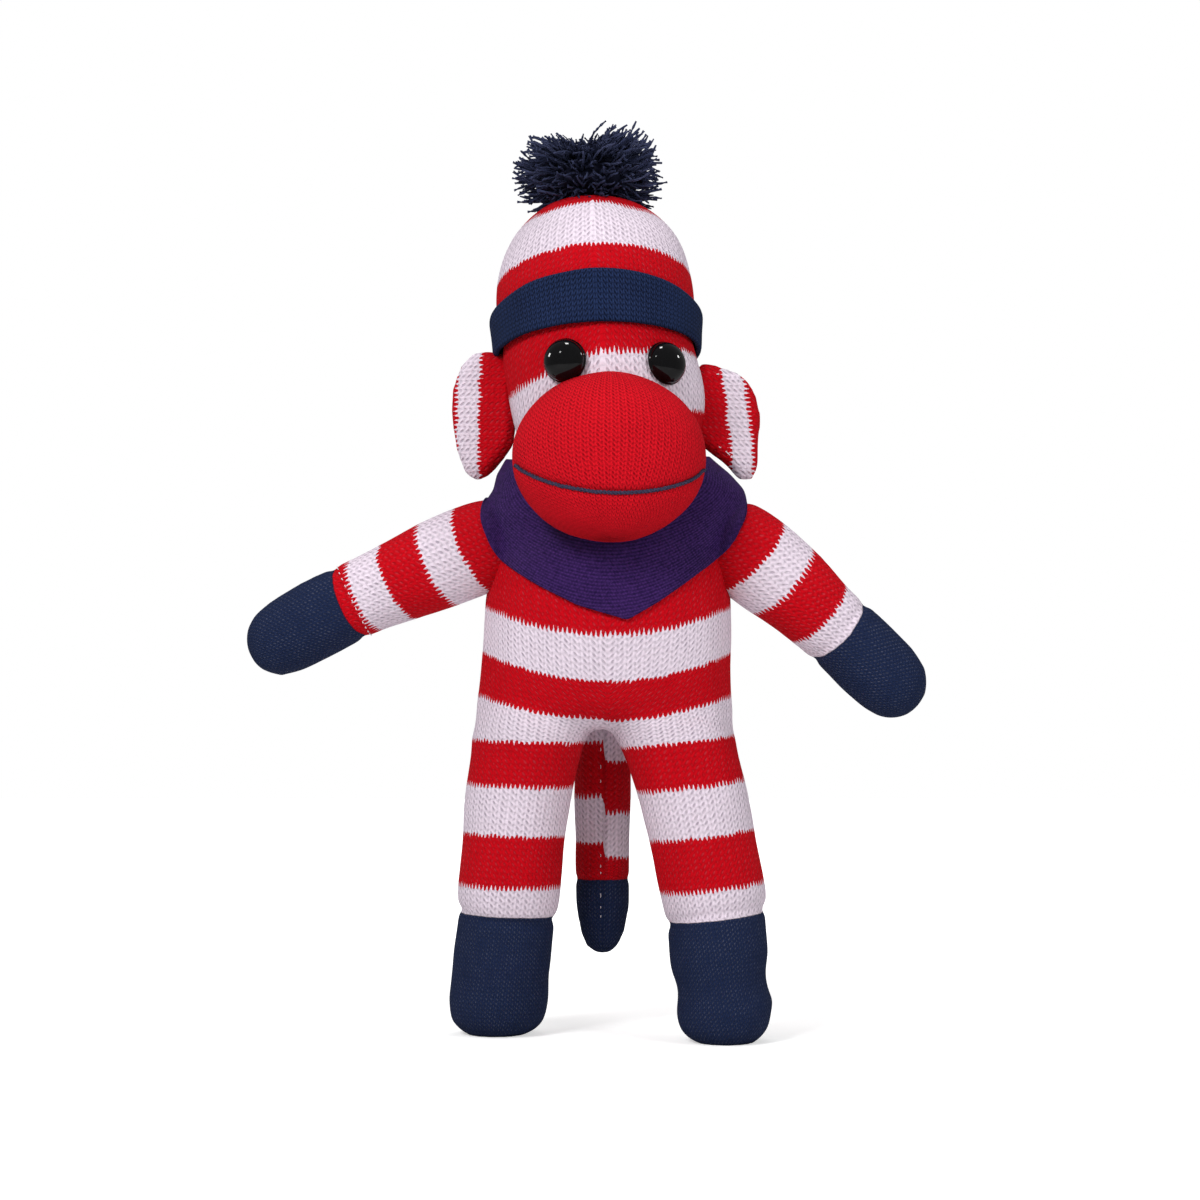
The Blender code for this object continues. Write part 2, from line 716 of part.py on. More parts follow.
def face_point(angle, height):
    """Point on the face at an angle from the front, on the cross-section at a height."""
    _, half_width, half_depth = halves(head_profile(), height)[0][-1]
    side, front = half_width * math.sin(angle), half_depth * math.cos(angle)
    return head_frame(height) @ Vector((side, -front, 0))


def face_seat(angle, height, reach):
    """Frame on the face, with its +Z square to the skin as measured over a reach each way."""
    turn = reach / HEAD_HALF_WIDTH
    across = face_point(angle + turn, height) - face_point(angle - turn, height)
    up = face_point(angle, height + reach) - face_point(angle, height - reach)
    out = across.cross(up).normalized()
    across.normalize()
    axes = Matrix((across, out.cross(across), out)).transposed()
    return Matrix.Translation(face_point(angle, height)) @ axes.to_4x4()


def head_reach(side, low, high):
    """How far the head reaches to one side between two heights."""
    levels = [(h, w) for h, w, _ in head_profile() if low <= h <= high]
    return max(side * head_frame(h).to_translation().x + w for h, w in levels)


def build_head(head):
    """The head's skin and stuffing, both hollowed for the neck's bulb."""
    profile = head_profile()
    skin = piece("head_skin", loft(rings_of(profile, HEAD_SEGMENTS, head_frame)), head, WHITE)
    inner = rings_of(inset(profile, KNIT), HEAD_SEGMENTS, head_frame)
    cavity = cutter("head_cavity", loft(inner), head)
    stuffing = loft(rings_of(inset(profile, KNIT + GAP), HEAD_SEGMENTS, head_frame))
    filling = piece("head_filling", stuffing, head, STUFFING)
    clearances = ((skin, JOINT_GAP), (cavity, JOINT_GAP + KNIT), (filling, JOINT_GAP + KNIT + GAP))
    for target, clearance in clearances:
        socket = socket_ball(NECK_BULB_RADIUS + clearance, NECK_SEGMENTS)
        cut(target, cutter(target.name + "_neck", socket, head))
    hole = cylinder(NECK_HOLE_RADIUS, 0, NECK_BULB_RADIUS + OVERRUN, NECK_HOLE_SEGMENTS)
    bmesh.ops.rotate(hole, matrix=Matrix.Rotation(NECK_HOLE_TURN, 3, "Z"), verts=hole.verts)
    cut(skin, cavity, cutter("neck_hole", hole, head))
    return skin, filling


def build_eye(name, angle, head, skin, filling):
    """A domed eye on its stem, and the washer behind the knit."""
    frame = face_seat(angle, EYE_HEIGHT, EYE_WASHER_RADIUS)
    turn = frame.to_quaternion().to_matrix().to_4x4()
    seat = pivot(name + "_seat", head, frame.to_translation(), turn)
    turns = [math.pi / 2 * (step + 0.5) / (EYE_DOME_RINGS + 0.5) for step in range(EYE_DOME_RINGS)]
    dome = EYE_DOME - EYE_RIM
    heights = [(GAP + EYE_RIM + dome * math.cos(t), EYE_RADIUS * math.sin(t)) for t in turns]
    heights += [(GAP + EYE_RIM, EYE_RADIUS), (GAP, EYE_RADIUS)]
    heights += [(GAP, EYE_STEM_RADIUS), (-EYE_STEM_LENGTH, EYE_STEM_RADIUS)]
    shape = loft([ring(upright(z), r, r, EYE_SEGMENTS) for z, r in heights])
    piece(name, shape, seat, BLACK, 0.08)

    top = -KNIT - GAP - EYE_WASHER_RADIUS**2 / HEAD_HALF_DEPTH
    bottom = top - EYE_WASHER_THICKNESS
    bore = EYE_STEM_RADIUS + GAP
    outline = [(top, bore), (top, EYE_WASHER_RADIUS), (bottom, EYE_WASHER_RADIUS), (bottom, bore)]
    washer = loft([ring(upright(z), r, r, EYE_SEGMENTS) for z, r in outline], closed=True)
    piece(name + "_washer", washer, seat, CLEAR_GREY, 0.4)

    hole = cylinder(bore, -OVERRUN, OVERRUN, EYE_SEGMENTS)
    cut(skin, cutter(name + "_hole", hole, seat))
    depth = EYE_STEM_LENGTH + GAP
    pocket = cylinder(EYE_WASHER_RADIUS + GAP, -depth, OVERRUN, EYE_SEGMENTS)
    cut(filling, cutter(name + "_pocket", pocket, seat))


def egg(amount):
    """The muzzle's egg, made smaller by an amount all round."""
    bm = bmesh.new()
    bmesh.ops.create_uvsphere(bm, u_segments=MUZZLE_SEGMENTS, v_segments=MUZZLE_RINGS, radius=1)
    size = (MUZZLE_HALF_WIDTH - amount, MUZZLE_HALF_DEPTH - amount, MUZZLE_HALF_HEIGHT - amount)
    bmesh.ops.scale(bm, vec=size, verts=bm.verts)
    bmesh.ops.transform(bm, matrix=muzzle_frame(), verts=bm.verts)
    return bm


def muzzle_frame():
    """Frame of the muzzle's egg in the head."""
    place = Matrix.Translation((MUZZLE_SIDE, -MUZZLE_FORWARD, MUZZLE_HEIGHT))
    return place @ Matrix.Rotation(-MUZZLE_LEAN, 4, "X")


def build_muzzle(head, doll):
    """The muzzle's skin and stuffing, seated on the face and clear of the chest."""
    skin = piece("muzzle_skin", egg(0), head, RED)
    cavity = cutter("muzzle_cavity", egg(KNIT), head)
    filling = piece("muzzle_filling", egg(KNIT + GAP), head, STUFFING)
    reliefs = ((skin, 0), (cavity, KNIT), (filling, KNIT + GAP))
    for target, more in reliefs:
        chest = loft(rings_of(inset(torso_profile(), -MUZZLE_CHEST_GAP - more), TORSO_SEGMENTS))
        cut(target, cutter(target.name + "_chest", chest, doll))
        radius = MUZZLE_NECK_RADIUS + more
        throat = cylinder(radius, -MUZZLE_HALF_HEIGHT, MUZZLE_NECK_TOP, NECK_SEGMENTS)
        cut(target, cutter(target.name + "_neck", throat, head))
    seat = loft(rings_of(inset(head_profile(), -GAP), HEAD_SEGMENTS, head_frame))
    face = cutter("muzzle_seat", seat, head)
    cut(skin, cavity, face)
    cut(filling, face)


def mouth_point(side, height):
    """Point of the mouth's thread: just outside the muzzle's front at a side and a height."""
    grow = MOUTH_THREAD_RADIUS + GAP
    size = Vector(
        (MUZZLE_HALF_WIDTH + grow, MUZZLE_HALF_DEPTH + grow, MUZZLE_HALF_HEIGHT + grow)
    )
    back = muzzle_frame().inverted()
    start = back @ Vector((side, 0, height))
    way = back.to_3x3() @ Vector((0, -1, 0))
    a = sum((way[i] / size[i]) ** 2 for i in range(3))
    b = sum(way[i] * start[i] / size[i] ** 2 for i in range(3))
    c = sum((start[i] / size[i]) ** 2 for i in range(3)) - 1
    distance = (math.sqrt(b * b - a * c) - b) / a
    return Vector((side, -distance, height))


def build_mouth(head):
    """The thread stitched across the muzzle."""
    curve = bpy.data.curves.new("mouth_thread", "CURVE")
    curve.dimensions = "3D"
    curve.bevel_depth = MOUTH_THREAD_RADIUS
    curve.bevel_resolution = 1
    curve.use_fill_caps = True
    spline = curve.splines.new("POLY")
    spline.points.add(MOUTH_POINTS - 1)
    for index, point in enumerate(spline.points):
        share = 2 * index / (MOUTH_POINTS - 1) - 1
        side = MUZZLE_SIDE + MOUTH_HALF_WIDTH * math.sin(share * math.pi / 2)
        rise = (MOUTH_END_HEIGHT - MOUTH_MIDDLE_HEIGHT) * (side / MOUTH_HALF_WIDTH) ** 2
        point.co = (*mouth_point(side, MOUTH_MIDDLE_HEIGHT + rise), 1)
    thread = bpy.data.objects.new("mouth_thread", curve)
    bpy.context.scene.collection.objects.link(thread)
    thread.parent = head
    curve.materials.append(material("mouth_thread", NAVY, 0.8))


def build_ear(name, side, height, head):
    """A stuffed pad with a rounded edge, hinged on the seam at the side of the head."""
    radius = EAR_THICKNESS / 2
    reach = head_reach(side, height - EAR_HEIGHT / 2, height + EAR_HEIGHT / 2)
    place = (side * (reach + radius + JOINT_GAP), EAR_BACK, height)
    seam = pivot(name + "_seam", head, place, Matrix.Rotation(side * EAR_TURN, 4, "Z"))
    middle = Vector((EAR_WIDTH / 2, 0, 0))
    layers = []
    for depth, scale in EAR_LAYER_SHARES:
        points = []
        for out, up in EAR_SHARES:
            point = Vector((EAR_WIDTH * out - radius, 0, EAR_HEIGHT * up))
            shrunk = middle + (point - middle) * scale
            points.append(Vector((side * shrunk.x, EAR_THICKNESS * depth, shrunk.z)))
        layers.append(points)
    piece(name, loft(layers), seam, RED)


def build_hat(head):
    """The hat's crown, its folded cuff, the pompom and the pompom's tie."""
    profile = hat_profile()
    inner = inset(profile, KNIT)
    profile.reverse()
    inner.reverse()
    piece("hat_crown", sock(profile, inner, HEAD_SEGMENTS, hat_frame), head, RED)

    seat = HAT_RADIUS + GAP
    edge = CUFF_THICKNESS * CUFF_EDGE_SHARE
    out = seat + CUFF_THICKNESS
    top = CUFF_BOTTOM + CUFF_HEIGHT
    outline = (
        (CUFF_BOTTOM, seat + edge),
        (CUFF_BOTTOM, out - edge),
        (CUFF_BOTTOM + edge, out),
        (top - edge, out),
        (top, out - edge),
        (top, seat + edge),
        (top - edge, seat),
        (CUFF_BOTTOM + edge, seat),
    )
    narrow = HAT_RADIUS * (1 - HAT_DEPTH_SHARE)
    rings = [ring(hat_frame(h), r, r - narrow, HEAD_SEGMENTS) for h, r in outline]
    piece("hat_cuff", loft(rings, closed=True), head, NAVY)

    top_frame = hat_frame(HAT_HEIGHT)
    tie_top = pivot("hat_top", head, top_frame.to_translation())
    tie = cylinder(TIE_RADIUS, GAP, TIE_LENGTH, TIE_SEGMENTS)
    bmesh.ops.transform(tie, matrix=top_frame.to_3x3().to_4x4(), verts=tie.verts)
    piece("pompom_tie", tie, tie_top, NAVY)

    ball = piece("pompom", pompom_shape(), tie_top, NAVY)
    outside = rings_of(inset(hat_profile(), -GAP), HEAD_SEGMENTS, hat_frame)
    cut(ball, cutter("pompom_seat", loft(outside), head))
    bore = cylinder(TIE_RADIUS + GAP, -OVERRUN, TIE_LENGTH + GAP, TIE_SEGMENTS)
    bmesh.ops.transform(bore, matrix=top_frame.to_3x3().to_4x4(), verts=bore.verts)
    cut(ball, cutter("pompom_bore", bore, tie_top))


def pompom_shape():
    """A ball with a waist between its two lobes and tufts all over."""
    bm = bmesh.new()
    bmesh.ops.create_icosphere(bm, subdivisions=POMPOM_DETAIL, radius=1)
    for vert in bm.verts:
        x, y, z = vert.co
        around = math.atan2(y, x) * POMPOM_TUFTS_AROUND
        up = math.asin(max(-1, min(1, z))) * POMPOM_TUFTS_AROUND
        tuft = POMPOM_TUFT_SHARE * math.sin(around + up) * math.cos(around - 2 * up)
        dip = math.exp(-((x / POMPOM_WAIST_WIDTH_SHARE) ** 2))
        waist = POMPOM_WAIST_SHARE * dip * max(z, 0)
        vert.co = vert.co * (1 - POMPOM_TUFT_SHARE + tuft - waist)
    size = (POMPOM_HALF_WIDTH, POMPOM_HALF_DEPTH, POMPOM_HALF_HEIGHT)
    bmesh.ops.scale(bm, vec=size, verts=bm.verts)
    bmesh.ops.translate(bm, vec=(POMPOM_SIDE, 0, POMPOM_LIFT), verts=bm.verts)
    return bm


def read_shares(table, at):
    """Value of a table of (angle, share) at an angle, with straight runs between its rows."""
    for (left, low), (right, high) in zip(table, table[1:]):
        if left <= at <= right:
            return low + (high - low) * (at - left) / (right - left)
    return table[-1][1]


def bandana_point(angle, down, lift):
    """Point of the bandana at an angle from the front, a share of the way down, lifted off."""
    span = BANDANA_TOP - BANDANA_TIP
    top = BANDANA_TIP + span * read_shares(BANDANA_TOP_SHARES, angle)
    bottom = BANDANA_TIP + span * read_shares(BANDANA_BOTTOM_SHARES, angle)
    height = top + (bottom - top) * down
    if height <= TORSO_TOP:
        _, half_width, half_depth = halves(torso_profile(), height)[0][-1]
    else:
        share = (height - TORSO_TOP) / (BANDANA_TOP - TORSO_TOP)
        _, low_width, low_depth = torso_profile()[-1]
        half_width = low_width + (COWL_TOP_HALF_WIDTH - low_width) * share
        half_depth = low_depth + (COWL_TOP_HALF_DEPTH - low_depth) * share
    if height >= COWL_WIDE_HEIGHT:
        share = (height - COWL_WIDE_HEIGHT) / (BANDANA_TOP - COWL_WIDE_HEIGHT)
        wide = COWL_HALF_WIDTH + (COWL_TOP_HALF_WIDTH - COWL_HALF_WIDTH) * share
    else:
        share = max(0, 1 - (COWL_WIDE_HEIGHT - height) / (COWL_WIDE_HEIGHT - BANDANA_TIP))
        wide = COWL_HALF_WIDTH * share
    half_width = max(half_width, wide)
    turn = math.radians(angle)
    fold = BANDANA_FOLD * (0.5 + 0.5 * math.cos(BANDANA_FOLDS * turn)) * math.sin(math.pi * down)
    off = BANDANA_LIFT + lift + fold
    point = Vector(
        ((half_width + off) * math.sin(turn), -(half_depth + off) * math.cos(turn), height)
    )
    shoulders = (
        Vector((LEFT_ARM_SIDE, 0, LEFT_ARM_HEIGHT)),
        Vector((RIGHT_ARM_SIDE, 0, RIGHT_ARM_HEIGHT)),
    )
    for middle in shoulders:
        clear = ARM_ROOT_RADIUS + BANDANA_SHOULDER_LIFT + lift
        away = point - middle
        if away.length < clear:
            point = middle + away.normalized() * clear
    return point


def bandana_row(down, lift):
    """One closed row of the bandana."""
    angles = [360 * step / BANDANA_SEGMENTS - 180 for step in range(BANDANA_SEGMENTS)]
    return [bandana_point(angle, down, lift) for angle in angles]


def build_bandana(doll):
    """The folded cloth round the neck, as a sheet with an inner and an outer face."""
    downs = [row / (BANDANA_ROWS - 1) for row in range(BANDANA_ROWS)]
    rows = [bandana_row(down, BANDANA_THICKNESS) for down in downs]
    rows += [bandana_row(down, 0) for down in reversed(downs)]
    piece("bandana", loft(rows, closed=True), doll, PURPLE)


def build_knot(doll):
    """The knot behind the neck, with its two loose ends."""
    _, _, half_depth = halves(torso_profile(), KNOT_HEIGHT)[0][-1]
    back = half_depth + BANDANA_LIFT + BANDANA_FOLD + BANDANA_THICKNESS + GAP + KNOT_HALF_DEPTH
    ball = sphere(1, KNOT_SEGMENTS)
    size = (KNOT_HALF_WIDTH, KNOT_HALF_DEPTH, KNOT_HALF_HEIGHT)
    bmesh.ops.scale(ball, vec=size, verts=ball.verts)
    bmesh.ops.translate(ball, vec=(0, back, KNOT_HEIGHT), verts=ball.verts)
    knot = piece("bandana_knot", ball, doll, PURPLE)
    for side in (-1, 1):
        profile = [
            (-KNOT_END_LENGTH * along, KNOT_END_HALF_WIDTH * width, KNOT_END_HALF_THICKNESS)
            for along, width in KNOT_END_SHARES
        ]
        end = loft(rings_of(profile, KNOT_END_SEGMENTS))
        lean = Matrix.Rotation(-side * KNOT_END_SPREAD, 4, "Y") @ Matrix.Rotation(KNOT_END_KICK, 4, "X")
        place = Matrix.Translation((0, back, KNOT_HEIGHT))
        bmesh.ops.transform(end, matrix=place @ lean, verts=end.verts)
        join = knot.modifiers.new("end", "BOOLEAN")
        join.operation = "UNION"
        join.solver = "EXACT"
        join.object = cutter(f"knot_end_{side}", end, doll)


def main():
    """Build the whole doll."""
    clear_scene()
    doll = pivot("doll", None, (TRUNK_X, TRUNK_Y, 0))
    shoulders, hips = build_limbs(doll)
    neck = build_torso(doll, shoulders, hips)
    build_neck(neck)
    head = pivot("head_nod", neck, (0, 0, 0))
    skin, filling = build_head(head)
    build_eye("left_eye", LEFT_EYE_ANGLE, head, skin, filling)
    build_eye("right_eye", RIGHT_EYE_ANGLE, head, skin, filling)
    build_muzzle(head, doll)
    build_mouth(head)
    build_ear("left_ear", -1, LEFT_EAR_HEIGHT, head)
    build_ear("right_ear", 1, RIGHT_EAR_HEIGHT, head)
    build_hat(head)
    build_bandana(doll)
    build_knot(doll)


main()
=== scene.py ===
# %% [markdown]
# # Dressing a stuffed sock monkey
# The imported CAD model gives the size, the joints and the place of every piece. This file
# hides its plain soft solids and builds the toy again as knitted, stuffed and sewn pieces,
# some of which ride on the same bodies. Left and right are the viewer's, and the doll faces -Y.

# %% Load the frame
import json
import math
import random

import bmesh
import bpy
import numpy as np
from mathutils import Matrix, Vector, noise
from mathutils.bvhtree import BVHTree

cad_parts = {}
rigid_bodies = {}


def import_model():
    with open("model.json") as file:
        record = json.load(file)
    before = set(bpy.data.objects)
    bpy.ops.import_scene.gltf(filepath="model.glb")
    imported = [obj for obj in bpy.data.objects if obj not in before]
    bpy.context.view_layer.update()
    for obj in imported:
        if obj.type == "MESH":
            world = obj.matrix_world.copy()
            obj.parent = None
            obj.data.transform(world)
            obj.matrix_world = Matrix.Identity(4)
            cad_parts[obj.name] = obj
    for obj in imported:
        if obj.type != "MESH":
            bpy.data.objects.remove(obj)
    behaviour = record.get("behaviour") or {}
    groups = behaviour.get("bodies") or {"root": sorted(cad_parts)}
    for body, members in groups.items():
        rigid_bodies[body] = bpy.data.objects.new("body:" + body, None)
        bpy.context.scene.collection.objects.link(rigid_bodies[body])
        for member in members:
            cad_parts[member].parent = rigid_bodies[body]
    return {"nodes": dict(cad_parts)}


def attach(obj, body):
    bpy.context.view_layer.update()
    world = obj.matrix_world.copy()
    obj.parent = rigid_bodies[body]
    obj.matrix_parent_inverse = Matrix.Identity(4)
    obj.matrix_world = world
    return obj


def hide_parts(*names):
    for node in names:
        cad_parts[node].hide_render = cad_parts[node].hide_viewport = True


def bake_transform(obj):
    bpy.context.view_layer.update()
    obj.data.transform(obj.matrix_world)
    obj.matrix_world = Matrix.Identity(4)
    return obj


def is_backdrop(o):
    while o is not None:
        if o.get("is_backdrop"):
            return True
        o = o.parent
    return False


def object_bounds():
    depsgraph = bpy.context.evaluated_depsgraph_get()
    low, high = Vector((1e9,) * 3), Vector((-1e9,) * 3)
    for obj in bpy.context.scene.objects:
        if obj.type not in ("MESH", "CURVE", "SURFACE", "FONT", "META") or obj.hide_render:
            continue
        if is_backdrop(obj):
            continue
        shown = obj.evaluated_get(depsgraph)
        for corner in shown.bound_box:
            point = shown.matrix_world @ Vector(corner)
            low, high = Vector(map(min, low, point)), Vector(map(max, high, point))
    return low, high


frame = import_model()
cad_low, cad_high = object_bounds()

# %% [markdown]
# ## Arithmetic on shader sockets
# A knit pattern is a formula of the stitch's column and row. Drawn by hand as Math nodes it
# is hard to read, so a small class wraps a socket and turns Python arithmetic into nodes.


# %% Sockets that can be reckoned with
class Wire:
    """An output in a material's node tree, which takes part in arithmetic."""

    def __init__(self, finish, socket):
        self.finish = finish
        self.socket = socket

    def __add__(self, other):
        return self.finish.maths("ADD", self, other)

    def __sub__(self, other):
        return self.finish.maths("SUBTRACT", self, other)

    def __rsub__(self, other):
        return self.finish.maths("SUBTRACT", other, self)

    def __mul__(self, other):
        return self.finish.maths("MULTIPLY", self, other)

    __radd__ = __add__
    __rmul__ = __mul__

    def part(self):
        """What is left above the whole number."""
        return self.finish.maths("FRACT", self)

    def size(self):
        """The value without its sign."""
        return self.finish.maths("ABSOLUTE", self)

    def clamp(self):
        """The value kept from 0 to 1."""
        return self.finish.node(
            "ShaderNodeClamp", {"clamp_type": "MINMAX"}, {0: self, 1: 0.0, 2: 1.0}
        )

    def swing(self):
        """The sine of the value."""
        return self.finish.maths("SINE", self)


class Finish:
    """A material in the making, on one Principled shader."""

    def __init__(self, name, roughness, gloss=0.08):
        self.material = bpy.data.materials.new(name)
        self.material.use_nodes = True
        self.tree = self.material.node_tree
        self.shader = self.tree.nodes["Principled BSDF"]
        self.shader.inputs["Roughness"].default_value = roughness
        self.shader.inputs["Specular IOR Level"].default_value = gloss

    def node(self, kind, settings=None, values=None, output=0):
        """Add any node: its settings first, then its sockets' values or links."""
        made = self.tree.nodes.new(kind)
        for key, value in (settings or {}).items():
            setattr(made, key, value)
        for key, value in (values or {}).items():
            self.feed(made.inputs[key], value)
        return Wire(self, made.outputs[output])

    def feed(self, socket, value):
        """Link a wire to a socket, or set the socket to a value."""
        if isinstance(value, Wire):
            self.tree.links.new(value.socket, socket)
        elif socket.type == "RGBA":
            socket.default_value = (*value, 1.0)
        else:
            socket.default_value = value

    def maths(self, operation, *values):
        """One Math node."""
        return self.node("ShaderNodeMath", {"operation": operation}, dict(enumerate(values)))

    def mix(self, share, below, above):
        """The colour at a share of the way between two colours."""
        return self.node(
            "ShaderNodeMix", {"data_type": "RGBA"}, {0: share, 6: below, 7: above}, output=2
        )

    def stitch(self):
        """The piece's own cloth coordinates: across it, and up it."""
        read = self.node("ShaderNodeAttribute", {"attribute_name": "stitch"}, output="Vector")
        return [self.node("ShaderNodeSeparateXYZ", {}, {0: read}, output=i) for i in range(2)]

    def cloud(self, scale, detail=2.0):
        """Even noise about one half, by the place on the object."""
        place = self.node("ShaderNodeTexCoord", output="Object")
        values = {"Vector": place, "Scale": scale, "Detail": detail}
        return self.node("ShaderNodeTexNoise", {}, values, output=0)

    def colour(self, value):
        """Set the surface's colour."""
        self.feed(self.shader.inputs["Base Color"], value)

    def bump(self, height, depth, strength=1.0):
        """Raise the surface by a height from 0 to 1, times a depth in metres."""
        values = {"Height": height, "Distance": depth, "Strength": strength}
        raised = self.node("ShaderNodeBump", {}, values)
        self.feed(self.shader.inputs["Normal"], raised)


print("wires know:", ", ".join(name for name in dir(Wire) if name[0] != "_"))

# %% [markdown]
# ## The knit
# The skin is plain stocking stitch: columns (wales) of small loops, each with two steep legs.
# A long hole shows between the legs, and a smaller one between the wales half a course on.
# Dark holes are painted shade, and pale ones show the stuffing that glimmers through; the yarn
# is also painted darker in the grooves between the loops, as shade. Where the colour changes,
# the legs of the white loops stand into the other colour in pairs, which gives the pronged
# edges. The pattern follows the cloth's own coordinates, counted in wales and courses, so it
# bends with the limb.

# %% The knit's sizes and yarns
WALE = 0.00255
COURSE = 0.00168
EDGE_SHARPNESS = 7.0
EDGE_WAVER = 1.1
LEG_AT = 0.24
PRONG_SLIMNESS = 6.5
PRONGS = {"white": 0.55, "red": -0.85}
YARNS = {
    "red": (0.54, 0.003, 0.009),
    "scarlet": (0.64, 0.007, 0.016),
    "white": (0.800, 0.690, 0.790),
    "navy": (0.013, 0.0215, 0.061),
}
# Colours in the holes: painted shade where they are darker than the yarn (white, scarlet), the
# stuffing showing through where they are paler (red, navy).
HOLE_SHADE_AND_STUFFING = {
    "red": (0.62, 0.035, 0.05),
    "scarlet": (0.32, 0.003, 0.009),
    "white": (0.44, 0.36, 0.45),
    "navy": (0.085, 0.095, 0.15),
}
NAVY_WALES = 1.55
NAVY_COURSES = 1.35
STITCH_DEPTH = 0.00045
print("knit:", WALE * 1000, "x", COURSE * 1000, "mm a stitch, yarns", ", ".join(YARNS))


# %% The knit's pattern
def go_over(value, share, target):
    """A number or wire that goes over to a target by a share."""
    return value + share * (target - value)


def stitches(u, v):
    """Height of the yarn, and how much of a hole there is, at a place in the knit."""
    askew = u + ((v + 0.5).part() - 0.5) * 0.35
    middle = (askew.part() - 0.5).size()
    beside = 0.5 - (u.part() - 0.5).size()
    lean = v + middle * 0.9
    yarn = ((middle * (2 * math.tau) - math.pi / 2).swing() + 1) * 0.5
    row = (lean * math.tau).swing() * 0.5 + 0.5
    down = ((v + 0.5).part() - 0.5).size()
    wide = (1.2 - middle * middle * 40 - down * down * 9).clamp()
    down = (v.part() - 0.5).size()
    small = (1.1 - beside * beside * 75 - down * down * 12).clamp()
    return yarn * 0.5 + row * 0.5, (wide + small * 0.75).clamp()


def stripes(finish, fibre, yarns, edges):
    """Colours of the yarn and of its holes, and where the yarn is navy."""
    u, v = finish.stitch()
    waver = (finish.cloud(300.0) - 0.5) * EDGE_WAVER
    leg = ((u.part() - 0.5).size() - LEG_AT).size()
    prong = (1 - leg * PRONG_SLIMNESS).clamp() - 0.4
    colour, gap, navy = YARNS[yarns[0]], HOLE_SHADE_AND_STUFFING[yarns[0]], float(yarns[0] == "navy")
    for below, yarn, edge in zip(yarns, yarns[1:], edges):
        if "navy" in (below, yarn):
            drawn = v + waver * 0.3
        else:
            drawn = v + waver + (fibre - 0.5) * 0.9 + prong * PRONGS[yarn]
        above = ((drawn - edge / COURSE) * EDGE_SHARPNESS + 0.5).clamp()
        colour = finish.mix(above, colour, YARNS[yarn])
        gap = finish.mix(above, gap, HOLE_SHADE_AND_STUFFING[yarn])
        navy = go_over(navy, above, float(yarn == "navy"))
    return colour, gap, navy


def knit(name, yarns, edges=(), groove_shade=0.26):
    """Striped stocking stitch: its yarns up the cloth, and the heights where they change."""
    finish = Finish(name, roughness=0.9, gloss=0.05)
    u, v = finish.stitch()
    fibre = finish.cloud(1500.0, 3.0)
    colour, gap, navy = stripes(finish, fibre, yarns, edges)
    pulled = (finish.cloud(330.0) - 0.5) * 0.35
    height, hole = stitches(
        (u + pulled) * go_over(1.0, navy, NAVY_WALES),
        (v - pulled * 1.6) * go_over(1.0, navy, NAVY_COURSES),
    )
    worn = (fibre - 0.5) * 0.30 + (finish.cloud(55.0) - 0.5) * 0.20
    # Painted shade: the yarn is darker in the grooves between its loops, by groove_shade, over
    # random tone (worn), and this is mixed into the colour towards black.
    shade = (1.02 - groove_shade) + height * groove_shade + worn
    # The holes take these colours: painted shade in the dark ones, stuffing in the pale ones.
    shown = hole * (finish.cloud(320.0) * 2.2 - 0.45).clamp() * 0.8
    colour = finish.mix(shown, colour, gap)
    finish.colour(finish.mix(shade.clamp(), (0.0, 0.0, 0.0), colour))
    finish.bump(height * 0.35 + fibre * 0.35 - hole * 0.6 + 0.5, STITCH_DEPTH, 0.85)
    print(name, "in", len(finish.tree.nodes), "nodes")
    return finish.material


# %% [markdown]
# ## Tools for stuffed tubes
# Every limb starts as a circle that is extruded from one cross-section to the next. Shells
# that grow together, such as the trunk and its legs, are united by a voxel remesh, which
# gives one skin of even quads. Then the skin is rounded, blown up by a cloth simulation with
# pressure inside, as stuffing does, and made finer.

# %% Closed meshes
def put(name, bm):
    """Turn a bmesh into a smooth object, with its faces out."""
    bmesh.ops.recalc_face_normals(bm, faces=bm.faces)
    mesh = bpy.data.meshes.new(name)
    bm.to_mesh(mesh)
    bm.free()
    mesh.shade_smooth()
    made = bpy.data.objects.new(name, mesh)
    bpy.context.scene.collection.objects.link(made)
    return made


def section(place, half_width, half_depth):
    """Matrix that turns the unit circle into one cross-section."""
    return place @ Matrix.Diagonal((half_width, half_depth, 1.0, 1.0))


def tube(sections, segments=40):
    """Extrude a closed circle through a row of cross-sections."""
    bm = bmesh.new()
    bmesh.ops.create_circle(
        bm, cap_ends=True, radius=1.0, segments=segments, matrix=sections[0]
    )
    cap = bm.faces[:][0]
    for before, after in zip(sections, sections[1:]):
        cap = bmesh.ops.extrude_discrete_faces(bm, faces=[cap])["faces"][0]
        bmesh.ops.transform(bm, matrix=after @ before.inverted(), verts=cap.verts)
    rim = [edge for edge in bm.edges if edge.is_boundary]
    bmesh.ops.holes_fill(bm, edges=rim, sides=0)
    return bm


def ball(place, across, deep, tall):
    """An oval with even triangles all over."""
    bm = bmesh.new()
    size = Matrix.Diagonal((across, deep, tall, 1.0))
    bmesh.ops.create_icosphere(bm, subdivisions=5, radius=1.0, matrix=place @ size)
    return bm


def spun(profile, steps):
    """A solid turned from (out, up) points, which form a ring or end on the axis."""
    bm = bmesh.new()
    verts = [bm.verts.new((out, 0, up)) for out, up in profile]
    after = verts[1:] + (verts[:1] if profile[0][0] else [])
    edges = [bm.edges.new(pair) for pair in zip(verts, after)]
    bmesh.ops.spin(
        bm, geom=verts + edges, axis=(0, 0, 1), angle=math.tau, steps=steps, use_merge=True
    )
    bmesh.ops.remove_doubles(bm, verts=bm.verts, dist=1e-6)
    return bm


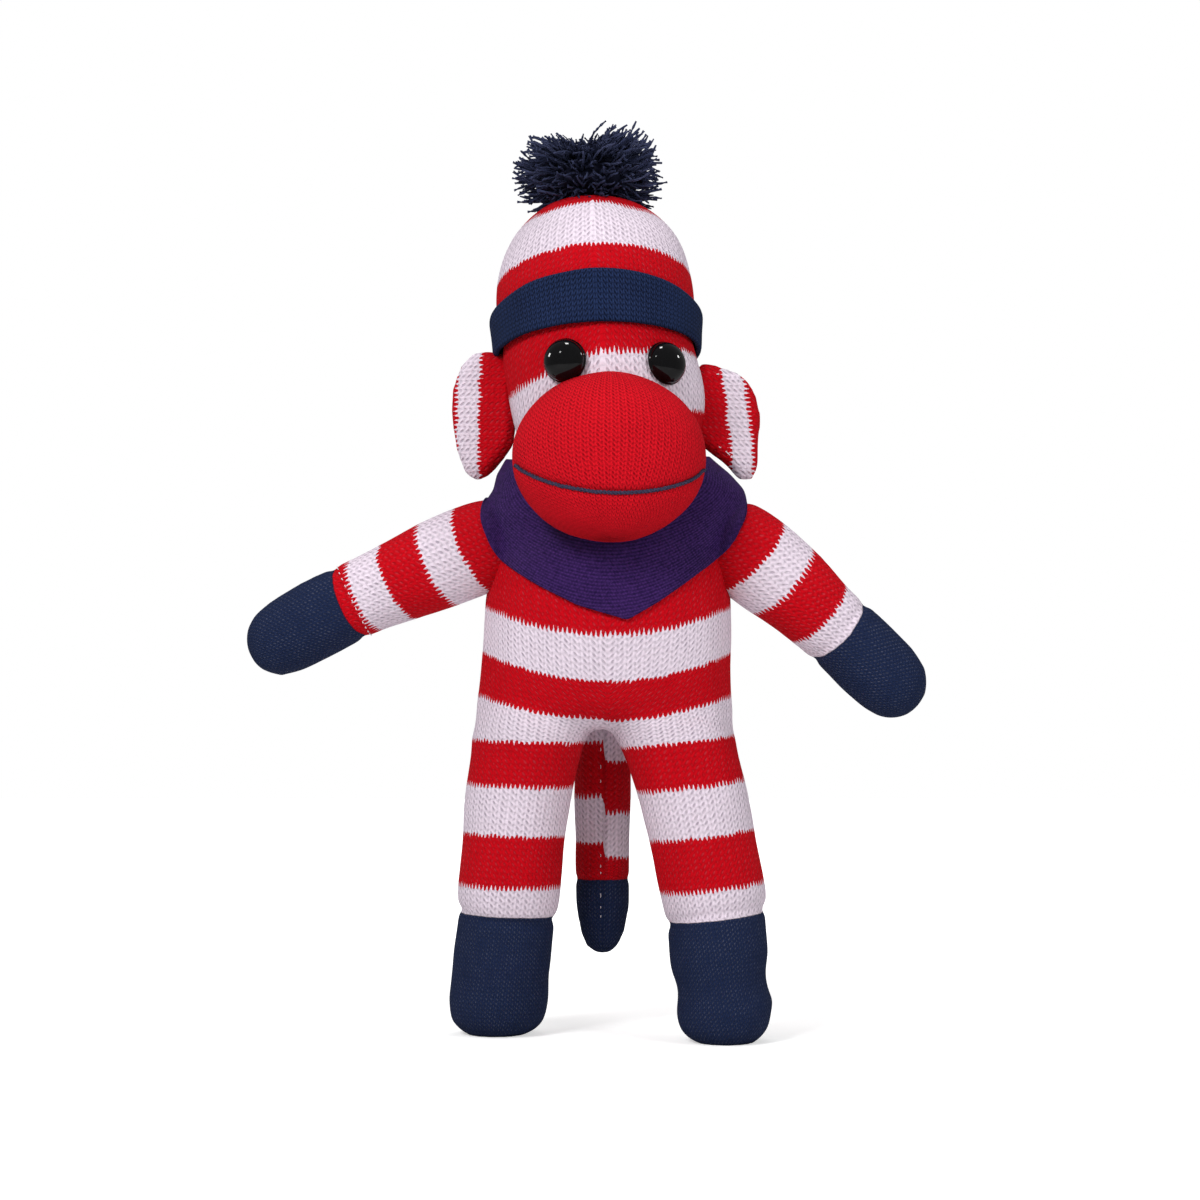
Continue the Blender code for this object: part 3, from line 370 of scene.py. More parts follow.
print("a tube of two circles has", len(tube([section(Matrix(), 1, 1)] * 2).faces), "faces")


# %% A mesh's points
def settle(ob):
    """Apply an object's modifiers."""
    graph = bpy.context.evaluated_depsgraph_get()
    mesh = bpy.data.meshes.new_from_object(ob.evaluated_get(graph))
    ob.modifiers.clear()
    ob.data = mesh
    mesh.shade_smooth()
    return ob


def points_of(ob):
    """An object's vertices as rows of numbers."""
    flat = np.empty(len(ob.data.vertices) * 3)
    ob.data.vertices.foreach_get("co", flat)
    return flat.reshape(-1, 3)


def move_to(ob, points):
    """Move an object's vertices."""
    ob.data.vertices.foreach_set("co", points.ravel())
    ob.data.update()


def normals_of(ob):
    """The outward directions at an object's vertices."""
    flat = np.empty(len(ob.data.vertices) * 3)
    ob.data.vertex_normals.foreach_get("vector", flat)
    return flat.reshape(-1, 3)


def stitch_on(ob, u, v):
    """Write the cloth coordinates that the cloth's material reads."""
    rows = np.stack(np.broadcast_arrays(u, v, 0.0), axis=1).astype(np.float32)
    layer = ob.data.attributes.new("stitch", "FLOAT_VECTOR", "POINT")
    layer.data.foreach_set("vector", rows.ravel())


def skin_tree(ob):
    """Search tree of an object's mesh."""
    bm = bmesh.new()
    bm.from_mesh(ob.data)
    tree = BVHTree.FromBMesh(bm)
    bm.free()
    return tree


def inside_of(place, points):
    """Points as a frame sees them."""
    return (points - np.array(place.translation)) @ np.array(place.to_3x3())


def smooth_share(values):
    """Ease numbers from 0 to 1."""
    held = np.clip(values, 0.0, 1.0)
    return held * held * (3 - 2 * held)


def round_limb(points, root, tip, zero):
    """Distance along a limb, angle round it, and distance off its axis."""
    way = (Vector(tip) - Vector(root)).normalized()
    first = (Vector(zero) - way * Vector(zero).dot(way)).normalized()
    second = way.cross(first)
    away = points - np.array(root)
    across, beside = away @ np.array(first), away @ np.array(second)
    return away @ np.array(way), np.arctan2(beside, across), np.hypot(across, beside)


print("half way eases to", float(smooth_share(0.5)))

# %% Stuffing
FILL_STEPS = 20
FILL_GROWTH = 10.0
SKIN = {
    "quality": 4,
    "mass": 0.2,
    "tension_stiffness": 20,
    "compression_stiffness": 20,
    "shear_stiffness": 10,
    "bending_stiffness": 1.0,
    "use_pressure": True,
    "uniform_pressure_force": 200.0,
}
ROUNDING = 6


def unite(name, shells, grain, rounding):
    """One even skin round closed shells that overlap."""
    whole = bmesh.new()
    for shell in shells:
        mesh = bpy.data.meshes.new("shell")
        shell.to_mesh(mesh)
        shell.free()
        whole.from_mesh(mesh)
        bpy.data.meshes.remove(mesh)
    made = put(name, whole)
    even = made.modifiers.new("even", "REMESH")
    even.mode = "VOXEL"
    even.voxel_size = grain
    rounded = made.modifiers.new("rounded", "SMOOTH")
    rounded.iterations = rounding
    return settle(made)


def fill_out(ob, reach):
    """Blow a skin up from inside, and keep each point within a reach of where it was."""
    rest = points_of(ob)
    move_to(ob, rest * FILL_GROWTH)
    cloth = ob.modifiers.new("filling", "CLOTH")
    cloth.point_cache.frame_start = 1
    cloth.point_cache.frame_end = FILL_STEPS
    for key, value in SKIN.items():
        setattr(cloth.settings, key, value)
    cloth.settings.effector_weights.gravity = 0
    for step in range(1, FILL_STEPS + 1):
        bpy.context.scene.frame_set(step)
    settle(ob)
    bpy.context.scene.frame_set(1)
    moved = points_of(ob) / FILL_GROWTH - rest
    move_to(ob, rest)
    outward = normals_of(ob)
    far = np.clip((moved * outward).sum(axis=1), -reach / 3, reach)
    print(ob.name, "filled out by", round(float(far.mean()) * 1000, 2), "mm")
    move_to(ob, rest + outward * far[:, None])


def lumps(ob, depth, size, seed=0.0):
    """Push the skin in and out a little, as uneven stuffing does."""
    points = points_of(ob)
    heights = [noise.noise(Vector(p) / size + Vector((seed, 0, 0))) for p in points]
    move_to(ob, points + normals_of(ob) * (np.array(heights) * depth)[:, None])


def finer(ob, levels=1):
    """Round a mesh off with a finer one."""
    ob.modifiers.new("finer", "SUBSURF").levels = levels
    ob.modifiers["finer"].render_levels = levels
    return settle(ob)


def stuffed(name, shells, grain, reach, lump, rounding=4, seed=0.0):
    """A skin round closed shells, filled out, made lumpy and rounded off."""
    made = unite(name, shells, grain, rounding)
    fill_out(made, reach)
    lumps(made, *lump, seed=seed)
    return finer(made)


def pinch(ob, root, tip, at, depth, width, where=1.0):
    """Draw a limb in round a seam, at a distance along it."""
    points = points_of(ob)
    along, _, off = round_limb(points, root, tip, (0, -1, 0.01))
    way = np.array((Vector(tip) - Vector(root)).normalized())
    spokes = points - np.array(root) - along[:, None] * way
    inward = depth * np.exp(-(((along - at) / width) ** 2)) / np.maximum(off, 1e-5)
    move_to(ob, points - spokes * (inward * where)[:, None])


def stands_for(piece, nodes):
    """Hide the CAD nodes that a piece replaces, and print its number of faces."""
    if nodes:
        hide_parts(*nodes)
    print(piece.name, len(piece.data.polygons), "faces")


print("simulations are", "run")

# %% [markdown]
# ## Trunk and legs
# On the real toy a striped sock makes the trunk, and its end is slit and sewn into two legs,
# so the stripes run on from one to the other. Loops modelled by hand would have to fork at
# the crotch, which a remesh does by itself. The skin is then cut along the groins into a
# trunk, which stays still, and two legs.

# %% The trunk's and legs' cross-sections
TRUNK = Vector((0.0059, 0.0057, 0.0))
TRUNK_LOW = 0.0865
TRUNK_HIGH = 0.148
TRUNK_HALF_WIDTH = 0.0375
TRUNK_HALF_DEPTH = 0.024
TRUNK_WAIST = 0.0350
TRUNK_SHIFT = -0.0011
TRUNK_SHARES = (
    (0.00, 0.96, 0.50),
    (0.05, 0.97, 0.66),
    (0.13, 0.945, 0.80),
    (0.24, 0.93, 0.91),
    (0.40, 0.93, 0.98),
    (0.58, 0.92, 0.965),
    (0.76, 0.895, 0.92),
    (0.86, 0.84, 0.85),
    (0.935, 0.72, 0.76),
    (1.00, 0.53, 0.667),
)
LEG_HALF_WIDTH = 0.0155
LEG_HALF_DEPTH = 0.0160
LEG_SHARES = (
    (-0.17, 0.90, 0.90, 0.62),
    (-0.12, 1.05, 1.05, 0.85),
    (-0.06, 1.13, 1.15, 0.95),
    (0.00, 1.03, 1.08, 1.00),
    (0.14, 0.96, 0.985, 0.93),
    (0.33, 0.925, 0.98, 0.89),
    (0.43, 0.935, 0.955, 0.88),
    (0.54, 0.915, 0.92, 0.87),
    (0.59, 0.855, 0.86, 0.83),
    (0.74, 0.865, 0.885, 0.85),
    (0.88, 0.885, 0.89, 0.87),
    (0.95, 0.83, 0.81, 0.82),
    (0.99, 0.65, 0.62, 0.62),
    (1.00, 0.49, 0.46, 0.46),
)
HIPS = {"left": Vector((-0.0165, 0.0057, 0.082)), "right": Vector((0.0264, 0.0057, 0.082))}
SOLES = {"left": Vector((-0.02584, 0.01437, 0.0)), "right": Vector((0.03998, -0.00451, 0.0))}
SIDES = {"left": -1.0, "right": 1.0}
FOOT_LEVEL = 0.72
LEG_BOW_AT = (-0.17, -0.06, 0.0, 0.14, 0.33, 0.53, 0.74, 0.84, 0.94, 1.0)
LEG_BOWS = {
    "left": (2.2, 1.2, 0.0, -0.9, -1.4, -0.9, -0.8, -1.0, -0.6, -0.2),
    "right": (-3.8, -3.0, -0.9, 0.5, 1.8, 2.4, 0.9, 0.5, -0.8, -1.4),
}


def trunk_sections(gap=0.0):
    """Level cross-sections of the trunk, which can be grown by a gap."""
    made = []
    for rise, width, depth in TRUNK_SHARES:
        height = TRUNK_LOW + (TRUNK_HIGH - TRUNK_LOW) * rise + gap * max(0.0, (rise - 0.8) * 5)
        aside = TRUNK_SHIFT * min(1.0, max(0.0, 1.5 - rise * 3.5))
        place = Matrix.Translation(TRUNK + Vector((aside, 0, height)))
        made.append(section(place, TRUNK_HALF_WIDTH * width + gap, TRUNK_HALF_DEPTH * depth + gap))
    return made


def leg_sections(side):
    """Cross-sections of a leg, square to it, which turn level towards the sole."""
    hip, sole = HIPS[side], SOLES[side]
    lean = (sole - hip).to_track_quat("-Z", "Y")
    made = []
    for down, left_width, right_width, depth in LEG_SHARES:
        width = left_width if side == "left" else right_width
        level = max(0.0, down - FOOT_LEVEL) / (1 - FOOT_LEVEL)
        turned = lean.slerp(Matrix.Identity(3).to_quaternion(), level)
        bowed = Vector((float(np.interp(down, LEG_BOW_AT, LEG_BOWS[side])) / 1000, 0, 0))
        place = Matrix.Translation(hip.lerp(sole, down) + bowed) @ turned.to_matrix().to_4x4()
        made.append(section(place, LEG_HALF_WIDTH * width, LEG_HALF_DEPTH * depth))
    return made


body_shells = [tube(trunk_sections())] + [tube(leg_sections(side)) for side in SIDES]
body = stuffed("body", body_shells, 0.0019, 0.0012, (0.0006, 0.016), ROUNDING)
print("body:", len(body.data.vertices), "vertices")

# %% [markdown]
# ### Stripes of the trunk and legs
# The stripes hang in a U over the belly and run nearly level round the legs. The height that
# the stripes follow is therefore the point's own height plus a sag, which is deepest in the
# middle of the belly and gone at the crotch. Wales are counted from each outer side to the
# middle, and they run on down the leg from its outer side to its inner seam.

# %% Cloth coordinates of the body
HALF_WALES = 19
SAG_HEIGHTS = (0.083, 0.0948, 0.1071, 0.1199, 0.14)
SAGS = (0.0, 0.0057, 0.0078, 0.0078, 0.0070)
LEG_SLOPES = {"left": 0.035, "right": 0.115}
BODY_EDGES = (0.0339, 0.0421, 0.0564, 0.0701, 0.0825, 0.0948, 0.1071, 0.1199)
BODY_YARNS = ("navy", "white", "red", "white", "red", "white", "red", "white", "red")


def body_cloth(points):
    """Wales and courses of the trunk and the legs."""
    x, y, z = (points - np.array(TRUNK)).T
    turns = np.linspace(0, math.pi / 2, 46)
    steps = np.hypot(TRUNK_HALF_WIDTH * np.sin(turns), TRUNK_HALF_DEPTH * np.cos(turns))
    arc = np.concatenate(([0.0], np.cumsum((steps[1:] + steps[:-1]) / 2)))
    at = np.arctan2(np.abs(y) / TRUNK_HALF_DEPTH, np.abs(x) / TRUNK_HALF_WIDTH)
    on_trunk = np.interp(at, turns, arc) / arc[-1] * HALF_WALES
    on_leg = np.zeros(len(points))
    slope = np.zeros(len(points))
    for side, sign in SIDES.items():
        along, angle, off = round_limb(points, HIPS[side], SOLES[side], (sign, 0, 0))
        mine = x * sign > 0
        on_leg[mine] = (np.abs(angle) / math.pi * HALF_WALES)[mine]
        slope[mine] = (off * np.cos(angle) * LEG_SLOPES[side])[mine]
    leg = smooth_share((0.102 - z) / 0.022)
    middle = np.clip(1 - (x / TRUNK_WAIST) ** 2, 0, 1)
    height = z.copy()
    for _ in range(6):
        height = z + np.interp(height, SAG_HEIGHTS, SAGS) * middle
    return on_trunk + (on_leg - on_trunk) * leg, (height - slope * leg) / COURSE


for side, sign in SIDES.items():
    ankle = (HIPS[side].z - BODY_EDGES[0]) / HIPS[side].z * (SOLES[side] - HIPS[side]).length
    mine = (points_of(body)[:, 0] - TRUNK.x) * sign > 0
    pinch(body, HIPS[side], SOLES[side], ankle, 0.0009, 0.0016, mine)
move_to(body, np.maximum(points_of(body), (-np.inf, -np.inf, 0.0)))
stitch_on(body, *body_cloth(points_of(body)))
body.data.materials.append(knit("body_knit", BODY_YARNS, BODY_EDGES))

# %% Cut the legs from the trunk along the groins
GROIN_RISE = math.radians(25)
GROIN_HEIGHT = 0.0855


def cut_away(ob, place, way, side, name):
    """Move what lies beyond a plane, on one side of the trunk, to an object of its own."""
    whole = bmesh.new()
    whole.from_mesh(ob.data)
    near = [f for f in whole.faces if all((v.co.x - TRUNK.x) * side > -0.0005 for v in f.verts)]
    edges = list({e for f in near for e in f.edges})
    verts = list({v for f in near for v in f.verts})
    bmesh.ops.bisect_plane(
        whole, geom=near + edges + verts, plane_co=place, plane_no=way, dist=1e-6
    )
    mesh = bpy.data.meshes.new(name)
    for target, beyond in ((mesh, True), (ob.data, False)):
        part, lost = whole.copy(), []
        for face in part.faces:
            middle = face.calc_center_median()
            past = (middle - place).dot(way) > 0 and (middle.x - TRUNK.x) * side > 0
            if past != beyond:
                lost.append(face)
        bmesh.ops.delete(part, geom=lost, context="FACES")
        part.to_mesh(target)
        part.free()
    whole.free()
    mesh.shade_smooth()
    mesh.materials.append(ob.data.materials[0])
    made = bpy.data.objects.new(name, mesh)
    bpy.context.scene.collection.objects.link(made)
    return made


for side, sign in SIDES.items():
    groin = TRUNK + Vector((0, 0, GROIN_HEIGHT))
    way = Vector((sign * math.sin(GROIN_RISE), 0, -math.cos(GROIN_RISE)))
    leg = cut_away(body, groin, way, sign, f"{side}_leg_knit")
    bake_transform(leg)
    nodes = (f"{side}_leg_skin", f"{side}_foot_skin", f"{side}_leg_filling")
    stands_for(leg, nodes)
body.name = "trunk_knit"
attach(body, "trunk")
stands_for(body, ("torso_skin", "torso_filling"))

# %% [markdown]
# ## Arms
# Each arm is a tube of the same striped knit, closed by a navy hand, and sewn to the side of
# the trunk. Its root sinks into the trunk, so the seam line is where the two skins meet. The
# stripes bulge towards the hand in front, because the arms point a little backwards.

# %% The two arms
ARM_RADIUS = 0.0120
ARM_WALES = 13
ARM_BULGE = 0.0036
ARM_SHARES = (
    (-0.10, 0.92),
    (0.00, 1.04),
    (0.10, 1.07),
    (0.20, 1.05),
    (0.34, 0.96),
    (0.48, 0.89),
    (0.56, 0.885),
    (0.72, 0.91),
    (0.84, 0.89),
    (0.93, 0.76),
    (0.98, 0.50),
    (1.00, 0.22),
)
ARMS = {
    "left": (Vector((-0.028, 0.0057, 0.1368)), 0.0718, math.radians(24.6)),
    "right": (Vector((0.0419, 0.0057, 0.137)), 0.0665, math.radians(42)),
}
ARM_EDGES = {
    "left": (0.0033, 0.0139, 0.0260, 0.0360, 0.0402),
    "right": (0.0047, 0.0158, 0.0293, 0.0363),
}
ARM_YARNS = {
    "left": ("red", "white", "red", "white", "red", "navy"),
    "right": ("red", "white", "red", "white", "navy"),
}
ARM_BOW = 0.0016


def make_arm(side):
    """One arm with its hand."""
    shoulder, length, droop = ARMS[side]
    way = Vector((SIDES[side] * math.cos(droop), 0, -math.sin(droop)))
    turned = way.to_track_quat("-Z", "Y").to_matrix().to_4x4()
    sections = []
    for share, radius in ARM_SHARES:
        bowed = Vector((0, 0, ARM_BOW * math.sin(math.pi * max(share, 0.0)) - 0.0006 * share))
        place = Matrix.Translation(shoulder + way * length * share + bowed) @ turned
        sections.append(section(place, ARM_RADIUS * radius, ARM_RADIUS * radius))
    arm = stuffed(
        f"{side}_arm_knit", [tube(sections)], 0.0018, 0.0010, (0.0005, 0.014), ROUNDING,
        SIDES[side] * 3,
    )
    tip = shoulder + way * length
    pinch(arm, shoulder, tip, ARM_EDGES[side][-1] + 0.001, 0.0006, 0.0015)
    along, angle, off = round_limb(points_of(arm), shoulder, tip, (0, 0, 1))
    front = np.abs(np.sin(angle)) * np.sign(-(points_of(arm)[:, 1] - shoulder.y))
    bulge = ARM_BULGE * front * np.clip(off / ARM_RADIUS, 0, 1)
    stitch_on(arm, np.abs(angle) / math.pi * ARM_WALES, (along - bulge) / COURSE)
    arm.data.materials.append(knit(f"{side}_arm_knit", ARM_YARNS[side], ARM_EDGES[side]))
    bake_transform(arm)
    nodes = (f"{side}_arm_skin", f"{side}_hand_skin", f"{side}_arm_filling")
    stands_for(arm, nodes)
    return arm


arms = {side: make_arm(side) for side in SIDES}

# %% [markdown]
# ## Tail
# The tail is a narrow strip, folded lengthwise and closed by a seam up its front, where the
# stripes of the two edges don't quite meet. White sewing thread shows in the seam. So the
# cloth coordinates are counted from the back to the seam on either side, and the right half
# has its stripes a little lower.

# %% The tail
TAIL_ROOT = Vector((0.0044, 0.0274, 0.0905))
TAIL_LENGTH = 0.0692
TAIL_HALF_WIDTH = 0.0082
TAIL_HALF_DEPTH = 0.0062
TAIL_WALES = 9
TAIL_SHARES = (
    (-0.09, 0.50, 0.34),
    (-0.06, 0.74, 0.66),
    (-0.02, 0.86, 0.90),
    (0.04, 0.93, 1.00),
    (0.15, 1.00, 1.00),
    (0.45, 1.00, 1.00),
    (0.70, 0.97, 1.00),
    (0.80, 0.94, 0.98),
    (0.91, 0.78, 0.86),
    (0.97, 0.54, 0.62),
    (1.00, 0.24, 0.28),
)
TAIL_EDGES = (0.0425, 0.0530, 0.0660, 0.0813)
TAIL_YARNS = ("navy", "red", "white", "red", "white")
TAIL_SHIFT_HEIGHTS = (0.0430, 0.0470, 0.0613, 0.0758)
TAIL_SHIFTS = (0.0, 0.0042, 0.0047, 0.0055)
TAIL_SEAM_X = TAIL_ROOT.x + 0.0008
TAIL_DOWN = TAIL_ROOT - Vector((0, 0, 1))


def tail_section(share, width, depth):
    """A level cross-section of the tail, whose top leans in to the trunk."""
    inward = 0.055 * min(share, 0.0)
    place = Matrix.Translation(TAIL_ROOT + Vector((0, inward, -TAIL_LENGTH * share)))
    return section(place, TAIL_HALF_WIDTH * width, TAIL_HALF_DEPTH * depth)


tail_tube = tube([tail_section(*row) for row in TAIL_SHARES])
tail = stuffed("tail_knit", [tail_tube], 0.0013, 0.0005, (0.0004, 0.010))
pinch(tail, TAIL_ROOT, TAIL_DOWN, TAIL_ROOT.z - TAIL_EDGES[0], 0.0004, 0.0012)
tail_points = points_of(tail)
in_front = np.clip((TAIL_ROOT.y - tail_points[:, 1]) / TAIL_HALF_DEPTH, 0, 1)
beside = (tail_points[:, 0] - TAIL_SEAM_X) / 0.0007
tail_points[:, 1] += 0.0006 * np.exp(-(beside**2)) * in_front
move_to(tail, tail_points)
_, angle, _ = round_limb(tail_points, TAIL_ROOT, TAIL_DOWN, (0, 1, 0))
lower = np.interp(tail_points[:, 2], TAIL_SHIFT_HEIGHTS, TAIL_SHIFTS)
lower *= tail_points[:, 0] > TAIL_SEAM_X
stitch_on(tail, np.abs(angle) / math.pi * TAIL_WALES, (tail_points[:, 2] + lower) / COURSE)
tail.data.materials.append(knit("tail_knit", TAIL_YARNS, TAIL_EDGES))
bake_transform(tail)
stands_for(tail, ("tail_skin", "tail_tip_skin", "tail_filling"))

# %% [markdown]
# ## Neck and head
# The head is the closed end of another sock, stuffed into an egg that leans back under the
# hat. Its cross-sections turn as they rise, so the stripes follow the tipping. The height
# that a point has along the leaning stack is solved for, and the stripes are drawn by it.

# %% The leaning stack of the head
NECK = Vector((0.0059, 0.0077, 0.156))
FACE_HEIGHT = 0.030
HEAD_HALF_WIDTH = 0.0270
HEAD_HALF_DEPTH = 0.0260
HAT_TIP = math.radians(16)
HAT_ROLL = math.radians(2)
HAT_SHIFT = -0.0028
TIP_START = 0.33
TIP_END = 1.13
HEAD_SHARES = (
    (-0.16, 0.36, 0.36),
    (-0.12, 0.56, 0.57),
    (-0.05, 0.69, 0.70),
    (0.03, 0.77, 0.78),
    (0.20, 0.86, 0.87),
    (0.40, 0.935, 0.94),
    (0.63, 0.985, 0.99),
    (0.87, 1.0, 1.0),
    (1.03, 0.985, 0.985),
    (1.25, 0.95, 0.95),
    (1.50, 0.86, 0.86),
    (1.75, 0.66, 0.66),
    (1.90, 0.40, 0.40),
)
HEAD_WALES = 33
HEAD_EDGES = (0.0142, 0.0288)
HEAD_YARNS = ("red", "white", "red")
STRIPES_SINK_AT = (-0.027, -0.0178, -0.0035, 0.008, 0.014, 0.025)
STRIPES_SINK = (-0.0077, -0.0056, -0.0019, -0.0013, 0.0, 0.003)


def tipped(share):
    """Frame that goes over from the upright neck's to the leaning hat's by a share."""
    place = Matrix.Translation(NECK + Vector((HAT_SHIFT * share**4, 0, FACE_HEIGHT)))
    place = place @ Matrix.Rotation(-HAT_ROLL * share, 4, "Y")
    return place @ Matrix.Rotation(-HAT_TIP * share, 4, "X")


def head_frame(height):
    """Place of the head's cross-section at a height above the neck's joint."""
    share = float(smooth_share((height / FACE_HEIGHT - TIP_START) / (TIP_END - TIP_START)))
    return tipped(share) @ Matrix.Translation((0, 0, height - FACE_HEIGHT))


def head_height(points):
    """Height along the leaning stack, solved by going to and fro."""
    _, y, z = (points - np.array(NECK)).T
    height = z.copy()
    for _ in range(12):
        share = smooth_share((height / FACE_HEIGHT - TIP_START) / (TIP_END - TIP_START))
        tip = HAT_TIP * share
        found = FACE_HEIGHT + y * np.sin(tip) + (z - FACE_HEIGHT) * np.cos(tip)
        height = height * 0.4 + found * 0.6
    return height


def dimple(ob, place, depth, width):
    """Press the skin in round a place."""
    points = points_of(ob)
    away = np.linalg.norm(points - np.array(place), axis=1)
    inward = np.array(NECK + Vector((0, 0, FACE_HEIGHT))) - np.array(place)
    inward /= np.linalg.norm(inward)
    move_to(ob, points + inward * (depth * np.exp(-((away / width) ** 2)))[:, None])


EYES = {
    "left": (Vector((-0.0057, -0.0172, 0.1864)), Vector((-0.3342, -0.9321, 0.10))),
    "right": (Vector((0.0214, -0.0129, 0.1859)), Vector((0.60, -0.7400, 0.22))),
}
stack = [
    section(head_frame(FACE_HEIGHT * s), HEAD_HALF_WIDTH * w, HEAD_HALF_DEPTH * d)
    for s, w, d in HEAD_SHARES
]
head = stuffed("head_knit", [tube(stack, 56)], 0.0019, 0.0009, (0.0005, 0.018))
for seat, _ in EYES.values():
    dimple(head, seat, 0.0008, 0.0085)
head_points = points_of(head)
x, y, _ = (head_points - np.array(NECK)).T
turned = np.abs(np.arctan2(x - HAT_SHIFT * 0.5, -y)) / math.pi * HEAD_WALES
sunk = np.interp(x, STRIPES_SINK_AT, STRIPES_SINK)
stitch_on(head, turned, (head_height(head_points) - sunk) / COURSE)
head.data.materials.append(knit("head_knit", HEAD_YARNS, HEAD_EDGES))
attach(head, "head")
stands_for(head, ("head_skin", "head_filling"))

# %% [markdown]
# The neck is a short stuffed sleeve that the bandana hides. It fills the gap between the
# trunk and the head when the head turns, so a plain tube is enough.

# %% The neck
NECK_SHARES = (
    (-0.013, 0.0115), (-0.009, 0.0124), (0.0, 0.0135), (0.006, 0.0128), (0.010, 0.0100),
)
neck_sections = [
    section(Matrix.Translation(NECK + Vector((0, 0, up))), radius, radius)
    for up, radius in NECK_SHARES
]
neck = finer(put("neck_knit", tube(neck_sections, 24)), 2)
neck_points = points_of(neck)
_, angle, _ = round_limb(neck_points, NECK, NECK + Vector((0, 0, 1)), (0, -1, 0))
stitch_on(neck, np.abs(angle) / math.pi * 15, neck_points[:, 2] / COURSE)
neck.data.materials.append(knit("neck_knit", ("red",)))
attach(neck, "neck")
stands_for(neck, ("neck_skin", "neck_filling"))

# %% [markdown]
# ## Muzzle and mouth
# The muzzle is an oval of finer red knit, gathered over its own ball of stuffing and sewn to
# the face. A sphere drawn out to that oval is hollowed where the chest would touch it, then
# remeshed and filled out as the limbs are. The mouth is one line of two-ply yarn that draws
# the cloth in, so the muzzle gets a groove first and the yarn is laid in it.

# %% The muzzle
MUZZLE_FINE = 1.36
MUZZLE_ACROSS = 0.027
MUZZLE_DEEP = 0.019
MUZZLE_TALL = 0.024
MUZZLE_LEAN = math.radians(20)
CHEST_CLEAR = 0.0048
MUZZLE_MIDDLE = NECK + Vector((0.0004, -0.028, 0.0040))
muzzle_place = Matrix.Translation(MUZZLE_MIDDLE) @ Matrix.Rotation(-MUZZLE_LEAN, 4, "X")


def carved(shell, tool):
    """A closed shell with another cut out of it."""
    piece, cutter = put("piece", shell), put("cutter", tool)
    cut = piece.modifiers.new("cut", "BOOLEAN")
    cut.operation = "DIFFERENCE"
    cut.solver = "EXACT"
    cut.object = cutter
    settle(piece)
    bm = bmesh.new()
    bm.from_mesh(piece.data)
    bpy.data.objects.remove(piece)
    bpy.data.objects.remove(cutter)
    return bm


pad = ball(muzzle_place, MUZZLE_ACROSS * 0.985, MUZZLE_DEEP * 0.98, MUZZLE_TALL * 0.985)
pad = carved(pad, tube(trunk_sections(CHEST_CLEAR), 48))
muzzle = stuffed("muzzle_knit", [pad], 0.0015, 0.0007, (0.0004, 0.013), ROUNDING, 5)
print("muzzle:", len(muzzle.data.vertices), "vertices")

# %% The line of the mouth
MOUTH_HALF_WIDTH = 0.0255
MOUTH_END = 0.0028
MOUTH_MIDDLE = -0.0060
MOUTH_TILT = 0.0010
MOUTH_GROOVE = 0.0009
MOUTH_GROOVE_WIDTH = 0.0013


def mouth_line(tree, steps):
    """Points of the mouth on the muzzle, from left to right."""
    found = []
    for step in range(steps + 1):
        turn = (step / steps - 0.5) * math.pi
        rise = MOUTH_MIDDLE + (MOUTH_END - MOUTH_MIDDLE) * (1 - math.cos(turn))
        rise -= MOUTH_TILT * math.sin(turn)
        way = Vector((math.sin(turn) * 1.25, -math.cos(turn), 0)).normalized()
        middle = Vector((MUZZLE_MIDDLE.x, MUZZLE_MIDDLE.y, NECK.z + rise))
        hit = tree.ray_cast(middle + way * 0.06, -way)[0]
        if hit is not None and abs(hit.x - middle.x) < MOUTH_HALF_WIDTH:
            found.append(hit)
    return found


line = mouth_line(skin_tree(muzzle), 96)
line_tree = BVHTree.FromPolygons(line, [(i, i + 1, i) for i in range(len(line) - 1)])
muzzle_points = points_of(muzzle)
off_line = np.array([line_tree.find_nearest(Vector(p))[3] for p in muzzle_points])
inward = np.array(muzzle_place.translation) - muzzle_points
inward /= np.linalg.norm(inward, axis=1)[:, None]
depth = MOUTH_GROOVE * np.exp(-((off_line / MOUTH_GROOVE_WIDTH) ** 2))
move_to(muzzle, muzzle_points + inward * depth[:, None])
print("mouth:", len(line), "points on the muzzle")

# %% The muzzle's cloth
local = inside_of(muzzle_place, points_of(muzzle))
around = np.arctan2(local[:, 0] / MUZZLE_ACROSS, -local[:, 1] / MUZZLE_DEEP)
rise = np.arcsin(np.clip(local[:, 2] / MUZZLE_TALL, -1, 1))
wales = around * MUZZLE_ACROSS * 0.9 / WALE * MUZZLE_FINE
stitch_on(muzzle, wales, rise * MUZZLE_TALL * 0.95 / COURSE * MUZZLE_FINE)
muzzle.data.materials.append(knit("muzzle_knit", ("scarlet",), groove_shade=0.4))
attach(muzzle, "head")
stands_for(muzzle, ("muzzle_skin", "muzzle_filling"))

# %% Yarn
MOUTH_PLY = 0.00038
MOUTH_TWIST = 0.0021


def yarn_finish(name, colour, pale, roughness=0.8):
    """Twisted yarn: fine fibres in two shades of one colour."""
    finish = Finish(name, roughness=roughness)
    fibre = finish.cloud(2600.0, 3.0)
    finish.colour(finish.mix((fibre * 2 - 0.5).clamp(), colour, pale))
    finish.bump(fibre, 0.0002, 0.6)
    return finish.material


